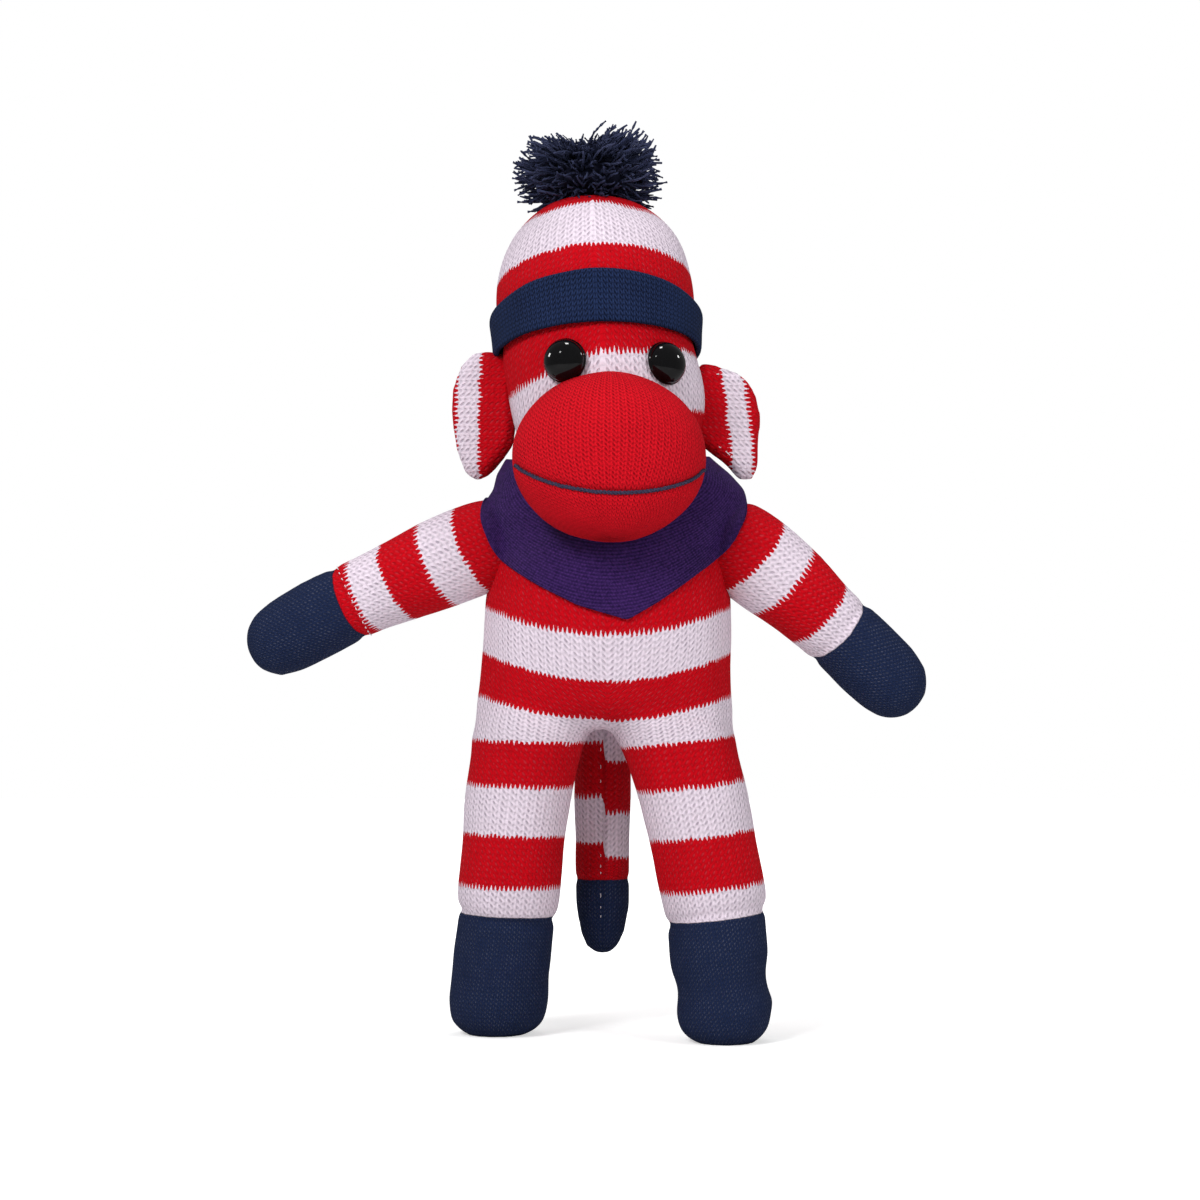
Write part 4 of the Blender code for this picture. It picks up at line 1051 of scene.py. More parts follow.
def strand_mesh(name, lines, radius, taper=0.0):
    """Thin round strands along lines of points, as one mesh, thinner towards the ends."""
    curve = bpy.data.curves.new(name, "CURVE")
    curve.dimensions = "3D"
    curve.bevel_depth = radius
    curve.bevel_resolution = 0
    curve.use_fill_caps = True
    for points in lines:
        spline = curve.splines.new("POLY")
        spline.points.add(len(points) - 1)
        for index, point in enumerate(points):
            spline.points[index].co = (*point, 1.0)
            if taper:
                spline.points[index].radius = 1.15 - taper * index / (len(points) - 1)
    carrier = bpy.data.objects.new(name, curve)
    bpy.context.scene.collection.objects.link(carrier)
    graph = bpy.context.evaluated_depsgraph_get()
    mesh = bpy.data.meshes.new_from_object(carrier.evaluated_get(graph))
    bpy.data.objects.remove(carrier)
    made = bpy.data.objects.new(name, mesh)
    bpy.context.scene.collection.objects.link(made)
    mesh.shade_smooth()
    return made


def plies(points, outward, offset, pitch):
    """Two lines that wind round one line of points."""
    wound = ([], [])
    gone = 0.0
    for index, point in enumerate(points):
        after = points[min(index + 1, len(points) - 1)]
        before = points[max(index - 1, 0)]
        along = (after - before).normalized()
        out = (outward[index] - along * outward[index].dot(along)).normalized()
        aside = along.cross(out)
        for ply in (0, 1):
            turn = gone / pitch * math.tau + math.pi * ply
            wound[ply].append(point + (out * math.cos(turn) + aside * math.sin(turn)) * offset)
        gone += (after - point).length
    return wound


# %% The mouth's yarn
groove_tree = skin_tree(muzzle)
mouth_points, mouth_out = [], []
for point in mouth_line(groove_tree, 220):
    place, normal, _, _ = groove_tree.find_nearest(point)
    mouth_points.append(place + normal * MOUTH_PLY * 0.9)
    mouth_out.append(normal)
mouth_plies = plies(mouth_points, mouth_out, MOUTH_PLY * 0.62, MOUTH_TWIST)
mouth = strand_mesh("mouth_yarn", mouth_plies, MOUTH_PLY)
slate = yarn_finish("mouth_yarn", (0.016, 0.015, 0.036), (0.075, 0.066, 0.120))
mouth.data.materials.append(slate)
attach(mouth, "head")
stands_for(mouth, ("mouth_thread",))

# %% [markdown]
# ## Eyes
# Safety eyes are glossy domes with a small rolled rim, on a stem that is locked by a washer
# inside the head. The dome is one profile spun round its axis. The washer stays as the CAD
# made it, with a plain moulded finish.

# %% The eyes and their washers
EYE_RADIUS = 0.0061
EYE_DOME = 0.0042
EYE_RIM = 0.0008
EYE_ROUND = 0.0003
EYE_STEPS = 48


def moulded(name, colour, roughness, gloss=0.5, grain=0.00002):
    """Moulded plastic with the faintest grain."""
    finish = Finish(name, roughness=roughness, gloss=gloss)
    speckle = finish.cloud(900.0, 2.0)
    finish.colour(finish.mix(speckle, [c * 0.8 for c in colour], colour))
    finish.bump(speckle, grain, 0.3)
    return finish.material


dome = [(0, EYE_RIM + EYE_DOME)]
for step in range(1, 15):
    turn = math.pi / 2 * step / 14
    out, up = (EYE_RADIUS - EYE_ROUND) * math.sin(turn), EYE_RIM + EYE_DOME * math.cos(turn)
    dome.append((out, up))
dome += [(EYE_RADIUS, EYE_RIM * 0.8), (EYE_RADIUS, EYE_RIM * 0.25), (EYE_RADIUS - EYE_ROUND, 0)]
dome.append((0, 0))
eye_black = moulded("eye_black", (0.003, 0.003, 0.0035), 0.05, gloss=0.2)
for side, (seat, out) in EYES.items():
    bm = spun(dome, EYE_STEPS)
    turned = out.to_track_quat("Z", "Y").to_matrix().to_4x4()
    bmesh.ops.transform(bm, matrix=Matrix.Translation(seat) @ turned, verts=bm.verts)
    eye = put(f"{side}_glass_eye", bm)
    eye.data.materials.append(eye_black)
    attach(eye, "head")
    stands_for(eye, (f"{side}_eye",))
washer_white = moulded("washer_white", (0.45, 0.45, 0.44), 0.5, grain=0.00005)
for side in SIDES:
    washer = frame["nodes"][f"{side}_eye_washer"]
    washer.data.materials.clear()
    washer.data.materials.append(washer_white)
print("eyes:", len(dome), "points in the profile")

# %% [markdown]
# ## Ears
# Each ear is a D of two layers of the same striped knit, with a little stuffing, sewn flat
# to the side of the head. The D starts as a circle whose corners are moved to its outline,
# extruded through a few layers that are smaller outside than in the middle.

# %% The ears
EAR_THICK = 0.0048
EAR_TURN = math.radians(12)
EAR_MIDDLE = Vector((0.0035, 0, 0.0))
EAR_OUTLINES = {
    "left": (
        (-6.0, 4.0), (-5.6, 14.5), (-2.0, 17.3), (1.8, 18.2), (5.4, 17.7), (8.9, 14.3),
        (11.2, 8.0), (11.9, 2.0), (11.1, -3.5), (10.0, -9.0), (7.9, -14.4), (5.2, -16.6),
        (2.2, -16.2), (-0.6, -13.9), (-3.2, -10.6), (-5.8, -6.6),
    ),
    "right": (
        (-6.0, 4.0), (-5.6, 13.0), (-3.0, 16.2), (1.2, 15.3), (6.0, 13.8), (9.3, 11.4),
        (11.8, 7.6), (12.8, 2.4), (12.6, -4.6), (12.5, -11.4), (10.8, -15.2), (7.0, -15.4),
        (3.6, -11.8), (-0.5, -8.4), (-3.4, -6.2), (-5.8, -4.0),
    ),
}
EAR_LAYERS = ((-0.50, 0.86), (-0.30, 0.97), (0.0, 1.0), (0.30, 0.97), (0.50, 0.86))
EAR_SEAMS = {
    "left": Vector((-0.02587, 0.0087, 0.1722)),
    "right": Vector((0.03525, 0.0087, 0.1708)),
}
EAR_GROWTH = 1.06
EAR_EDGES = {"left": (0.0036, 0.0104), "right": (0.0036, 0.0098)}
EAR_SLANTS = {"left": 0.02, "right": 0.12}
EAR_FIRST_COURSE = 6.0


def ear_place(side):
    """The ear's frame: X away from the head, Z up."""
    sign = SIDES[side]
    away = Vector((sign * math.cos(EAR_TURN), math.sin(EAR_TURN), 0))
    up = Vector((0, 0, 1))
    place = Matrix((away, up.cross(away), up)).transposed().to_4x4()
    place.translation = EAR_SEAMS[side]
    return place


def ear_shell(side):
    """The D, in its own frame, as layers of one outline."""
    bm = bmesh.new()
    outline = EAR_OUTLINES[side]
    bmesh.ops.create_circle(bm, cap_ends=True, radius=1.0, segments=len(outline))
    for vert, (out, up) in zip(bm.verts, outline):
        vert.co = (out * EAR_GROWTH / 1000, 0, up * EAR_GROWTH / 1000)
    cap = bm.faces[:][0]
    verts, before = cap.verts[:], None
    for off, size in EAR_LAYERS:
        layer = Matrix.Translation(EAR_MIDDLE + Vector((0, off * EAR_THICK, 0)))
        layer = layer @ Matrix.Scale(size, 4) @ Matrix.Translation(-EAR_MIDDLE)
        if before is not None:
            cap = bmesh.ops.extrude_discrete_faces(bm, faces=[cap])["faces"][0]
            verts = cap.verts[:]
        step = layer if before is None else layer @ before.inverted()
        bmesh.ops.transform(bm, matrix=step, verts=verts)
        before = layer
    bmesh.ops.holes_fill(bm, edges=[e for e in bm.edges if e.is_boundary], sides=0)
    return bm


def make_ear(side):
    """One ear, filled and striped."""
    place = ear_place(side)
    shell = ear_shell(side)
    bmesh.ops.transform(shell, matrix=place, verts=shell.verts)
    lump = (0.0004, 0.009)
    ear = stuffed(f"{side}_ear_knit", [shell], 0.0011, 0.0006, lump, seed=SIDES[side] * 7)
    out, _, up = inside_of(place, points_of(ear)).T
    out = out + up * EAR_SLANTS[side] + (up / 0.0165) ** 2 * 0.0004
    stitch_on(ear, up / WALE + 20.0, out / COURSE + EAR_FIRST_COURSE)
    edges = [edge + EAR_FIRST_COURSE * COURSE for edge in EAR_EDGES[side]]
    ear.data.materials.append(knit(f"{side}_ear_knit", ("red", "white", "red"), edges))
    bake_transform(ear)
    stands_for(ear, (f"{side}_ear",))
    return ear


ears = {side: make_ear(side) for side in SIDES}

# %% [markdown]
# ## Sewing thread
# White running stitches show at the ears, at the left wrist and down the tail. Each stitch is a
# short strand that lies on the skin, bedded in at both ends.

# %% Running stitches
THREAD = 0.00017
thread_white = yarn_finish("thread_white", (0.62, 0.56, 0.62), (0.80, 0.76, 0.80), 0.6)


def point_at(route, distance):
    """The point at a distance along a route of points."""
    for start, end in zip(route, route[1:]):
        span = (end - start).length
        if distance <= span:
            return start.lerp(end, distance / max(span, 1e-9))
        distance -= span
    return route[-1]


def running(name, owner, route, stitch, gap, radius=THREAD):
    """Stitches along a route of points, laid on the skin of the piece that they sew."""
    tree = skin_tree(owner)
    lines, gone = [], 0.0
    total = sum((end - start).length for start, end in zip(route, route[1:]))
    while gone + stitch < total:
        points = []
        for part in range(6):
            share = part / 5
            place, normal, _, _ = tree.find_nearest(point_at(route, gone + stitch * share))
            points.append(place + normal * radius * (2.2 * math.sin(math.pi * share) - 0.5))
        lines.append(points)
        gone += stitch + gap
    made = strand_mesh(name, lines, radius)
    made.data.materials.append(thread_white)
    return made


tail_seam = [Vector((TAIL_SEAM_X, 0.0, z / 1000)) for z in range(96, 24, -2)]
tail_thread = running("tail_thread", tail, tail_seam, 0.0008, 0.0033, 0.00012)
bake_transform(tail_thread)
stands_for(tail_thread, ())

# %% Stitches of the ears and the wrist
EAR_ROWS = (((0.5, 13.9), (5.2, 15.0)), ((0.5, -7.5), (6.8, -12.8)))
WRIST_RADIUS = 0.0105
for side, ear in ears.items():
    for number, ends in enumerate(EAR_ROWS):
        row = [ear_place(side) @ Vector((out / 1000, -0.01, up / 1000)) for out, up in ends]
        thread = running(f"{side}_ear_thread_{number}", ear, row, 0.0013, 0.0009)
        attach(thread, f"{side}_ear")
        stands_for(thread, ())
shoulder, length, droop = ARMS["left"]
along = Vector((-math.cos(droop), 0, -math.sin(droop)))
wrist = shoulder + along * (ARM_EDGES["left"][-1] - 0.0006)
second = along.cross(Vector((0, 1, 0)))
ring = []
for turn in np.linspace(0, math.tau, 49):
    out = Vector((0, math.cos(turn), 0)) + second * math.sin(turn)
    ring.append(wrist + out * WRIST_RADIUS)
wrist_thread = running("left_wrist_thread", arms["left"], ring, 0.0006, 0.0018)
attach(wrist_thread, "left_arm")
stands_for(wrist_thread, ())

# %% [markdown]
# ## Hat
# The bobble hat is the toe of a third sock, pulled over the head and rolled up at its edge.
# The crown is a dome of the same knit. The roll is a finer navy rib, spun from its profile
# as a thick band whose lower edge turns inwards.

# %% The crown
HAT_HEIGHT = 0.0485
HAT_RADIUS = 0.0273
HAT_DEPTH_SHARE = 0.96
HAT_SHARES = (
    (0.12, 0.985),
    (0.22, 1.0),
    (0.36, 1.0),
    (0.50, 0.995),
    (0.63, 0.95),
    (0.76, 0.85),
    (0.87, 0.69),
    (0.955, 0.47),
    (0.995, 0.20),
)
CROWN_WALES = 33
CROWN_EDGES = (0.0269, 0.0415)
CROWN_SAG = 0.0022
CROWN_TILT = 0.021
HAT_SAG = 0.0036
hat_place = tipped(1.0)
crown_sections = []
for up, size in HAT_SHARES:
    place = hat_place @ Matrix.Translation((0, 0, HAT_HEIGHT * up))
    wide = HAT_RADIUS * size
    crown_sections.append(section(place, wide, wide * HAT_DEPTH_SHARE))
crown_tube = tube(crown_sections, 56)
crown = stuffed("crown_knit", [crown_tube], 0.0019, 0.0009, (0.0005, 0.016), seed=9)
local = inside_of(hat_place, points_of(crown))
turned = np.abs(np.arctan2(local[:, 0], -local[:, 1])) / math.pi * CROWN_WALES
patch = np.array([noise.noise(Vector(p) / 0.011) for p in local]) * 0.0016
high = np.clip((local[:, 2] - 0.036) / 0.004, 0, 1)
sag = CROWN_SAG * (local[:, 0] / HAT_RADIUS) ** 2
stitch_on(crown, turned, (local[:, 2] - CROWN_TILT * local[:, 0] + sag + patch * high) / COURSE)
crown.data.materials.append(knit("crown_knit", ("red", "white", "red"), CROWN_EDGES))
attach(crown, "head")
stands_for(crown, ("hat_crown",))

# %% The rolled cuff
CUFF_LOW = 0.0037
CUFF_TALL = 0.0155
CUFF_PROFILE = (
    (0.0271, 0.0080),
    (0.0271, 0.0052),
    (0.0274, 0.0042),
    (0.0281, 0.0037),
    (0.0288, 0.0041),
    (0.0291, 0.0052),
    (0.0292, 0.0080),
    (0.0294, 0.0120),
    (0.0298, 0.0160),
    (0.0299, 0.0180),
    (0.0295, 0.0190),
    (0.0288, 0.0192),
    (0.0280, 0.0187),
    (0.0275, 0.0160),
    (0.0273, 0.0120),
)
CUFF_STEPS = 160
CUFF_WALES = 118
CUFF_INNER = 0.0280
bm = spun(CUFF_PROFILE, CUFF_STEPS)
for vert in bm.verts:
    x, y, z = vert.co
    around = math.atan2(x, -y)
    wave = noise.noise(Vector((math.sin(around) * 2.2, math.cos(around) * 2.2, z * 60)))
    size = 1 + wave * 0.008
    vert.co = (x * size, y * size * HAT_DEPTH_SHARE, z + wave * 0.0004)
cuff = finer(put("cuff_knit", bm))
local = points_of(cuff)
turned = np.abs(np.arctan2(local[:, 0], -local[:, 1])) / math.pi * CUFF_WALES / 2
inner = np.hypot(local[:, 0], local[:, 1] / HAT_DEPTH_SHARE) < CUFF_INNER
rise = np.where(inner, 0.0076 - local[:, 2], local[:, 2])
stitch_on(cuff, turned, rise / COURSE * 1.1)
high = (local[:, 2] - CUFF_LOW) / CUFF_TALL
local[:, 2] -= HAT_SAG * high * (local[:, 0] / HAT_RADIUS) ** 2
move_to(cuff, local @ np.array(hat_place.to_3x3()).T + np.array(hat_place.translation))


def rib(name):
    """Fine navy knit with no colour changes."""
    finish = Finish(name, roughness=0.85)
    height, hole = stitches(*finish.stitch())
    fibre = finish.cloud(1700.0, 3.0)
    # Painted shade: the rib is darker in its grooves, by the yarn's height, over random tone.
    tone = (height * 1.0 + fibre * 0.6 - 0.25 + (finish.cloud(70.0) - 0.5) * 0.5).clamp()
    colour = finish.mix(tone, (0.0025, 0.005, 0.017), (0.0175, 0.033, 0.098))
    # Painted shade in the holes, near black.
    finish.colour(finish.mix(hole * 0.35, colour, (0.002, 0.004, 0.012)))
    finish.bump(height * 0.8 - hole * 0.4 + fibre * 0.3 + 0.4, 0.0004, 0.9)
    return finish.material


cuff.data.materials.append(rib("cuff_rib"))
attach(cuff, "head")
stands_for(cuff, ("hat_cuff",))

# %% [markdown]
# ## Pompom
# A pompom is a bundle of cut yarn, tied round its middle. Every strand is a two-ply thread
# that leaves the tie, bends a little and ends blunt. More than a thousand of them, drawn as
# thin curves, give the ragged outline that no plain ball has. A core, dark with painted shade,
# fills the gaps, and each strand gets paler from the tie to its end: the dark near the tie is
# painted shade deep in the bundle.

# %% The pompom's strands
POMPOM_LOBES = (((0.0098, 0.0046), 0.0110), ((-0.0104, 0.0022), 0.0110))
POMPOM_DEEP = 1.65
POMPOM_HALF = (0.0220, 0.0190, 0.0118)
POMPOM_BELOW = 0.0115
POMPOM_STRANDS = 1350
POMPOM_PLY = 0.00025
POMPOM_TURN = 0.0026
POMPOM_STEPS = 10
POMPOM_SIZE = (0.0225, 0.0200, 0.0145)
GOLDEN_TURN = 2.399963
pompom_middle = hat_place @ Vector((0, 0, HAT_HEIGHT)) + Vector((-0.0010, 0, 0.0070))
chance = random.Random(11)


def scatter(most):
    """A random vector, each part up to an amount either way."""
    return Vector([chance.uniform(-most, most) for _ in range(3)])


def pompom_reach(way):
    """How far the pompom reaches in a direction: two lobes over a flatter base."""
    wide, deep, tall = POMPOM_HALF
    if way.z < 0:
        tall = POMPOM_BELOW
    longest = 1 / math.sqrt((way.x / wide) ** 2 + (way.y / deep) ** 2 + (way.z / tall) ** 2)
    for (x, z), radius in POMPOM_LOBES:
        long = way.x**2 + (way.y / POMPOM_DEEP) ** 2 + way.z**2
        toward = way.x * x + way.z * z
        left = toward**2 - long * (x * x + z * z - radius**2)
        if left > 0:
            longest = max(longest, (toward + math.sqrt(left)) / long)
    return longest


def strand_way(index):
    """Direction of a strand: evenly spread over the ball, then strayed a little."""
    up = 1 - 2 * (index + 0.5) / POMPOM_STRANDS
    turn = index * GOLDEN_TURN + chance.uniform(-0.25, 0.25)
    flat = math.sqrt(1 - up * up)
    way = Vector((flat * math.cos(turn), flat * math.sin(turn), up))
    return (way + scatter(0.14)).normalized()


def off_hat(end):
    """A strand's end, lifted out of the hat's top if it lies in it."""
    hat = hat_place.inverted() @ end
    out = math.hypot(hat.x, hat.y)
    low = HAT_HEIGHT * (1 - 0.30 * (out / HAT_RADIUS) ** 2)
    if out < HAT_RADIUS and hat.z < min(HAT_HEIGHT, low + 0.0012):
        hat.z = low + chance.uniform(0.0012, 0.0035)
        return hat_place @ hat
    return end


def strand(index):
    """One strand, from the tie outwards, as two plies."""
    way = strand_way(index)
    reach = pompom_reach(way) * chance.uniform(0.80, 1.02)
    if chance.random() < 0.05 and way.z > 0.1:
        reach *= 1.07
    start, end = pompom_middle + way * 0.002, off_hat(pompom_middle + way * reach)
    side = way.cross(scatter(1)).normalized()
    other = way.cross(side)
    bow = chance.uniform(0.05, 0.22) * reach
    curl = chance.uniform(0.6, 1.1)
    phase = chance.uniform(0, math.tau)
    points = []
    for step in range(POMPOM_STEPS):
        share = (step / (POMPOM_STEPS - 1)) ** 0.8
        bend = side * bow * math.sin(math.pi * share * curl)
        wave = other * math.sin(share * 9 + phase) * 0.0006 * share
        points.append(start.lerp(end, share) + bend + wave)
    return plies(points, [side] * POMPOM_STEPS, POMPOM_PLY * 0.85, POMPOM_TURN)


lines = [ply for index in range(POMPOM_STRANDS) for ply in strand(index)]
pompom = strand_mesh("pompom_yarn", lines, POMPOM_PLY, taper=0.4)
print(len(lines), "plies")

# %% The pompom's colour
pompom_points = points_of(pompom)
out = np.linalg.norm((pompom_points - np.array(pompom_middle)) / POMPOM_SIZE, axis=1)
tones = [chance.random() for _ in range(POMPOM_STRANDS)]
tone = np.repeat(tones, len(pompom_points) // POMPOM_STRANDS)
stitch_on(pompom, out, np.resize(tone, len(out)))


def pompom_finish():
    """Navy yarn, near black at the tie with painted shade, and slate blue at the tips."""
    finish = Finish("pompom_yarn", roughness=0.85)
    reach, tone = finish.stitch()
    # Painted shade: the yarn darkens from the tips towards the tie, deep in the bundle.
    pale = ((reach - 0.5) * 1.9).clamp()
    colour = finish.mix(pale, (0.0055, 0.006, 0.014), (0.036, 0.045, 0.103))
    colour = finish.mix(pale * tone * 0.65, colour, (0.085, 0.095, 0.180))
    fibre = finish.cloud(2200.0, 3.0)
    finish.colour(finish.mix(fibre * 0.5, colour, (0.006, 0.008, 0.018)))
    finish.bump(fibre, 0.0002, 0.7)
    return finish.material


pompom.data.materials.append(pompom_finish())
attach(pompom, "head")
stands_for(pompom, ("pompom", "pompom_tie"))

# %% The core inside it, dark with painted shade
core = put("pompom_core", ball(Matrix.Translation(pompom_middle), 0.0150, 0.0125, 0.0068))
lumps(core, 0.002, 0.004)
# The core takes the pompom's darkest colour, as painted shade between the strands.
stitch_on(core, np.full(len(core.data.vertices), 0.5), 0.3)
core.data.materials.append(pompom.data.materials[0])
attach(core, "head")
stands_for(core, ())

# %% [markdown]
# ## Bandana
# A square of thin twill is folded to a triangle and tied behind the neck, so it lies in a
# cowl with its point on the chest. Its upper and lower edges are known at every angle round
# the neck, so it is a grid bent into a ring between them, given a thickness afterwards.

# %% The bandana's course round the neck
BANDANA_TOP = 0.162
BANDANA_TIP = 0.116
COWL_DEPTH = 0.0245
COWL_BACK = 0.0045
BANDANA_UPPER = (
    (-180, 0.92), (-110, 0.96), (-85, 0.97), (-62, 0.96), (-48, 0.88), (-33, 0.74), (0, 0.66),
    (33, 0.75), (48, 0.90), (62, 0.98), (85, 0.985), (110, 0.96), (180, 0.92),
)
BANDANA_LOWER = (
    (-180, 0.52), (-150, 0.51), (-128, 0.53), (-112, 0.63), (-100, 0.74), (-88, 0.68),
    (-78, 0.54), (-70, 0.44), (-61, 0.36), (-38, 0.215), (-15, 0.085), (10, 0.0),
    (25, 0.10), (47, 0.27), (62, 0.37), (72, 0.43), (80, 0.49), (86, 0.60),
    (92, 0.70), (100, 0.74), (112, 0.63), (128, 0.53), (150, 0.51), (180, 0.52),
)
BANDANA_WIDTHS = (  # height, then half width to the left and right, mm
    (116.0, 30.0, 30.0), (132.6, 34.0, 34.2), (137.5, 34.5, 35.4), (141.0, 35.0, 36.6),
    (143.5, 35.4, 37.8), (146.5, 35.3, 38.5), (149.0, 33.6, 38.4), (152.0, 31.6, 37.6),
    (156.2, 30.6, 33.8), (160.0, 28.4, 29.2), (162.0, 27.2, 27.2),
)
BANDANA_GAP = 0.0011
BANDANA_THICK = 0.0006
BANDANA_ROUND = 144
BANDANA_DOWN = 18


def along_table(table, at, column=1):
    """Value of a table's column at a value of its first one."""
    return float(np.interp(at, [row[0] for row in table], [row[column] for row in table]))


def bandana_depth(height, back):
    """Half depth of the cowl at a height: on the chest, and fuller behind the neck."""
    rises = [TRUNK_LOW + (TRUNK_HIGH - TRUNK_LOW) * row[0] for row in TRUNK_SHARES]
    depths = [row[2] * TRUNK_HALF_DEPTH for row in TRUNK_SHARES]
    depth = float(np.interp(height, rises + [BANDANA_TOP], depths + [COWL_DEPTH]))
    return depth + COWL_BACK * max(0.0, back) * math.exp(-(((height - 0.149) / 0.007) ** 2))


def bandana_point(angle, down):
    """A point of the cloth at an angle from the front, and its place across the weave."""
    span = BANDANA_TOP - BANDANA_TIP
    top = BANDANA_TIP + span * along_table(BANDANA_UPPER, angle)
    bottom = BANDANA_TIP + span * along_table(BANDANA_LOWER, angle)
    height = top + (bottom - top) * down
    half_width = along_table(BANDANA_WIDTHS, height * 1000, 1 if angle < 0 else 2) / 1000
    turn = math.radians(angle)
    fold = 0.0007 * (0.5 + 0.5 * math.cos(7 * turn)) * math.sin(math.pi * down)
    deep = bandana_depth(height, -math.cos(turn)) + BANDANA_GAP + fold
    point = TRUNK + Vector((half_width * math.sin(turn), -deep * math.cos(turn), height))
    return point, height - BANDANA_TIP - 0.030 * (1 - math.cos(turn))


def laid_on(point, skins, angle):
    """A point moved out of the skins under it: forwards, over the shoulders, or backwards."""
    tip = math.radians(90 * min(1.0, max(0.0, (abs(angle) - 86) / 16)))
    way = Vector((0, -math.cos(tip), math.sin(tip)))
    if abs(angle) > 110:
        turn = math.radians(angle)
        way = Vector((math.sin(turn), -math.cos(turn), 0))
    for tree in skins:
        hit = tree.ray_cast(point + way * 0.04, -way, 0.06)[0]
        if hit is not None and (point - hit).dot(way) < BANDANA_GAP:
            point = hit + way * BANDANA_GAP
    return point


print("bandana from", BANDANA_TIP, "to", BANDANA_TOP, "m")

# %% The bandana's cloth
skins = [skin_tree(piece) for piece in (body, arms["left"], arms["right"])]
bm = bmesh.new()
bmesh.ops.create_grid(bm, x_segments=BANDANA_ROUND, y_segments=BANDANA_DOWN, size=0.5)
cloth = bm.verts.layers.float_vector.new("stitch")
for vert in bm.verts:
    angle, down = vert.co.x * 360, 0.5 - vert.co.y
    point, up = bandana_point(angle, down)
    vert.co = laid_on(point, skins, angle)
    vert[cloth] = (abs(angle) / 360 * 0.20, up, 0.0)
bmesh.ops.remove_doubles(bm, verts=bm.verts, dist=1e-5)
bandana = put("bandana_cloth", bm)
thick = bandana.modifiers.new("thick", "SOLIDIFY")
thick.thickness = BANDANA_THICK
thick.offset = 0.0
settle(bandana)
finer(bandana)


def twill(name, deep, bright):
    """Fine twill: lines along the fold, a millimetre apart, crossed by finer threads."""
    finish = Finish(name, roughness=0.7, gloss=0.08)
    u, v = finish.stitch()
    bent = (finish.cloud(90.0) - 0.5) * 2.5
    lines = (v * (math.tau / 0.00095) + bent).swing() * 0.5 + 0.5
    threads = ((u + v * 0.6) * (math.tau / 0.0008)).swing() * 0.5 + 0.5
    speck = finish.cloud(1500.0, 2.0)
    tone = lines * (threads * 0.6 + 0.4) * 0.5 + (speck - 0.5) * 1.1 + finish.cloud(60.0) * 0.3
    finish.colour(finish.mix(tone.clamp(), deep, bright))
    finish.bump(lines * (threads * 0.5 + 0.5) * 0.6 + speck * 0.4, 0.00015, 0.7)
    return finish.material


purple = twill("purple_twill", (0.011, 0.004, 0.036), (0.066, 0.025, 0.150))
bandana.data.materials.append(purple)
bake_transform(bandana)
stands_for(bandana, ("bandana",))

# %% The knot behind the neck
KNOT = Vector((0.0059, 0.0288, 0.1455))
END_LENGTH = 0.015
END_WIDTH = 0.0034
END_SHARES = ((0.0, 0.6), (0.3, 0.8), (0.7, 1.0), (0.93, 0.9), (1.0, 0.55))
knot_shells = [ball(Matrix.Translation(KNOT), 0.0048, 0.0030, 0.0036)]
for sign in (-1, 1):
    place = Matrix.Translation(KNOT) @ Matrix.Rotation(-sign * math.radians(28), 4, "Y")
    place = place @ Matrix.Rotation(math.radians(12), 4, "X")
    ends = []
    for share, width in END_SHARES:
        down = Matrix.Translation((0, 0, -END_LENGTH * share))
        ends.append(section(place @ down, END_WIDTH * width, 0.0011))
    knot_shells.append(tube(ends, 24))
knot = unite("knot_cloth", knot_shells, 0.0006, 4)
lumps(knot, 0.0006, 0.003)
knot_points = points_of(knot)
stitch_on(knot, knot_points[:, 0], knot_points[:, 2])
knot.data.materials.append(purple)
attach(knot, "trunk")
stands_for(knot, ("bandana_knot",))

# %% [markdown]
# ## Studio
# The photograph is a product shot on white: soft light from both sides and above, with faint
# shadows. The backdrop is white to the camera alone, so the doll isn't lit more than it is
# coloured, and the floor keeps the shadow of the feet.

# %% The floor
floor_bm = bmesh.new()
bmesh.ops.create_grid(floor_bm, x_segments=1, y_segments=1, size=1.2)
floor = put("floor", floor_bm)
floor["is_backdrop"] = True
ground = Finish("ground", roughness=0.9)
ground.colour(ground.mix(ground.cloud(3.0), (0.80, 0.80, 0.80), (0.84, 0.84, 0.84)))
ray = ground.node("ShaderNodeLightPath", output="Is Camera Ray")
place = ground.node("ShaderNodeTexCoord", output="Object")
away = ground.node("ShaderNodeVectorMath", {"operation": "LENGTH"}, {0: place}, output="Value")
# Painted light: the floor's glow to the camera goes from half to full white away from the doll,
# where the lamps light it less.
painted_floor_light = ground.mix(((away - 0.12) * 4.0).clamp(), (0.5, 0.5, 0.5), (1.0, 1.0, 1.0))
ground.shader.inputs["Emission Strength"].default_value = 1.0
ground.feed(ground.shader.inputs["Emission Color"], ground.mix(ray, (0, 0, 0), painted_floor_light))
floor.data.materials.append(ground.material)
print("floor", tuple(round(side, 2) for side in floor.dimensions), "m")

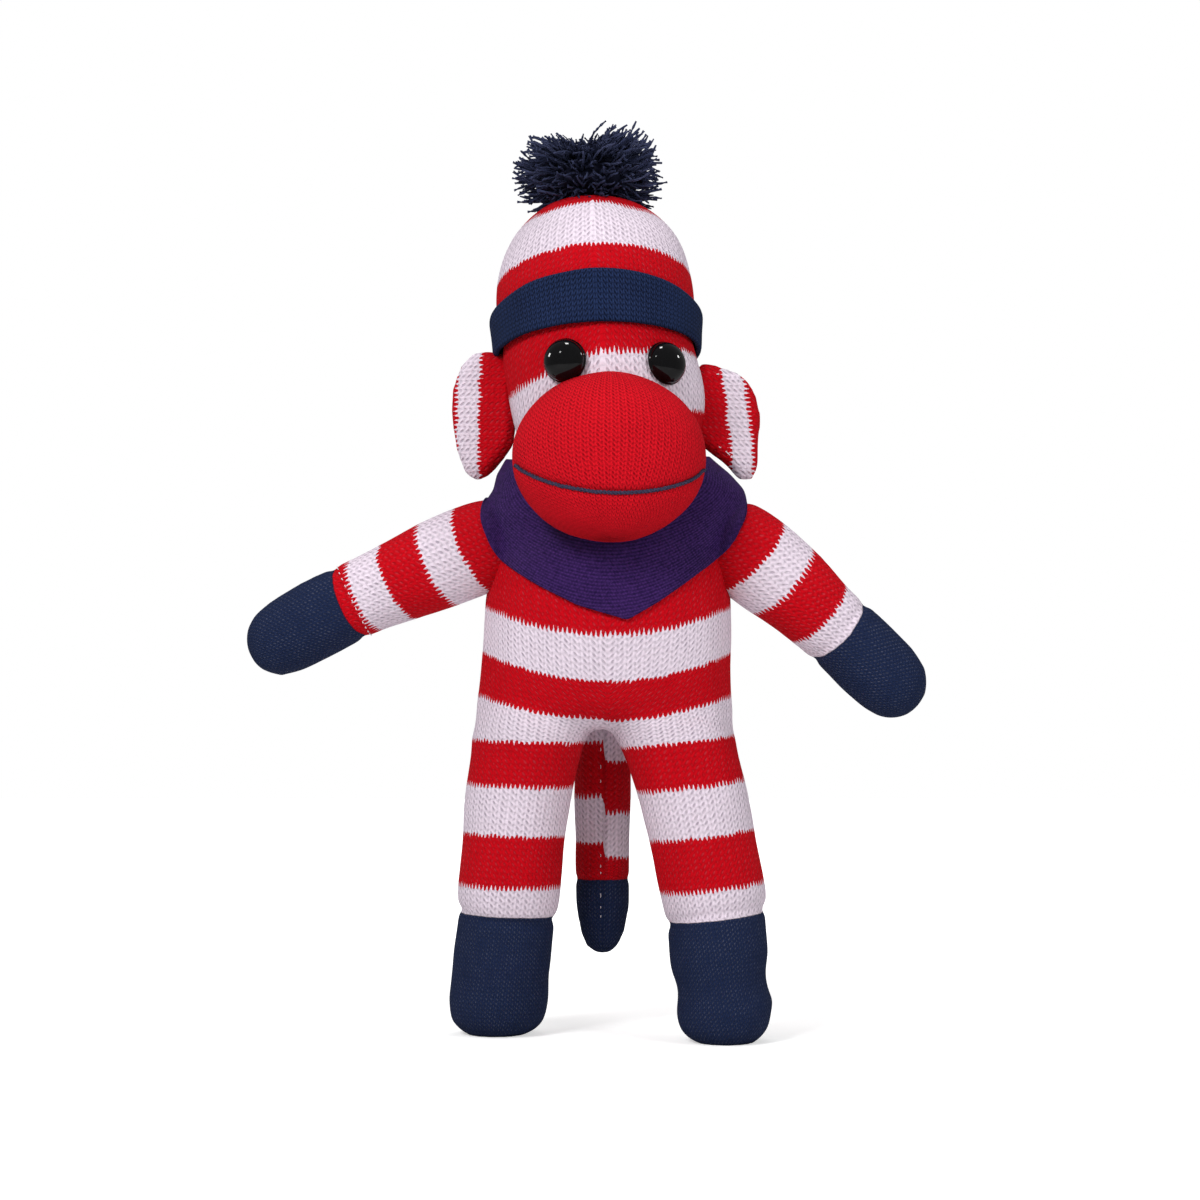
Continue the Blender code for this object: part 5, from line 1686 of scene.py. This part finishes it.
# %% The world
world = bpy.data.worlds.new("studio")
bpy.context.scene.world = world
world.use_nodes = True
tree = world.node_tree
seen = tree.nodes.new("ShaderNodeLightPath")
plain = tree.nodes["Background"]
plain.inputs["Color"].default_value = (1.0, 1.0, 1.0, 1.0)
plain.inputs["Strength"].default_value = 0.30
white = tree.nodes.new("ShaderNodeBackground")
white.inputs["Color"].default_value = (1.0, 1.0, 1.0, 1.0)
choose = tree.nodes.new("ShaderNodeMixShader")
tree.links.new(seen.outputs["Is Camera Ray"], choose.inputs[0])
tree.links.new(plain.outputs[0], choose.inputs[1])
tree.links.new(white.outputs[0], choose.inputs[2])
tree.links.new(choose.outputs[0], tree.nodes["World Output"].inputs[0])
print("world", world.name, "with", len(tree.nodes), "nodes")

# %% Lamps
LIT_POINT = Vector((0.0059, 0.0057, 0.13))
SOFT_LAMPS = (  # name, place, power, size
    ("key", (-0.50, -0.80, 0.80), 8.4, 0.35),
    ("fill", (0.75, -0.75, 0.50), 3.8, 0.4),
    ("top", (0.05, 0.10, 1.15), 3.3, 0.5),
)
GLINTS = (
    ("left_glint", (-1.00, 0.08, 0.58), 3.5, 0.18),
    ("right_glint", (0.95, 0.15, 0.66), 1.5, 0.12),
    ("high_glint", (-0.04, 0.00, 1.25), 4.5, 0.20),
    ("front_glint", (-0.55, -0.62, 0.82), 1.0, 0.10),
)


def lamp(name, place, power, size):
    """A square lamp that looks at the doll."""
    light = bpy.data.lights.new(name, "AREA")
    light.energy = power
    light.size = size
    made = bpy.data.objects.new(name, light)
    made.location = place
    toward = LIT_POINT - Vector(place)
    made.rotation_euler = toward.to_track_quat("-Z", "Y").to_euler()
    bpy.context.scene.collection.objects.link(made)
    return made


for row in SOFT_LAMPS:
    lamp(*row).visible_glossy = False
for row in GLINTS:
    lamp(*row).visible_diffuse = False
print(len(SOFT_LAMPS), "soft lamps and", len(GLINTS), "that only glint")

# %% The camera
lens = bpy.data.cameras.new("photo_camera")
lens.sensor_width = 36
lens.lens = 108
camera = bpy.data.objects.new("photo_camera", lens)
camera.location = (0.0037, 0.0057 - 1.0, 0.1215)
camera.rotation_euler = (math.radians(90), 0, 0)
bpy.context.scene.collection.objects.link(camera)
bpy.context.scene.camera = camera
bpy.context.scene.view_settings.view_transform = "Standard"
print("camera", tuple(round(value, 3) for value in camera.location), "m")

# %% [markdown]
# ## Sizes
# The box of all the pieces is written beside the CAD's, so that a form that has grown out
# of the part shows as a number.

# %% Sizes and the end
low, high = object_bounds()
print("proud of the CAD box, mm:", [round((a - b) * 1000, 1) for a, b in zip(cad_low, low)],
      [round((b - a) * 1000, 1) for a, b in zip(cad_high, high)])
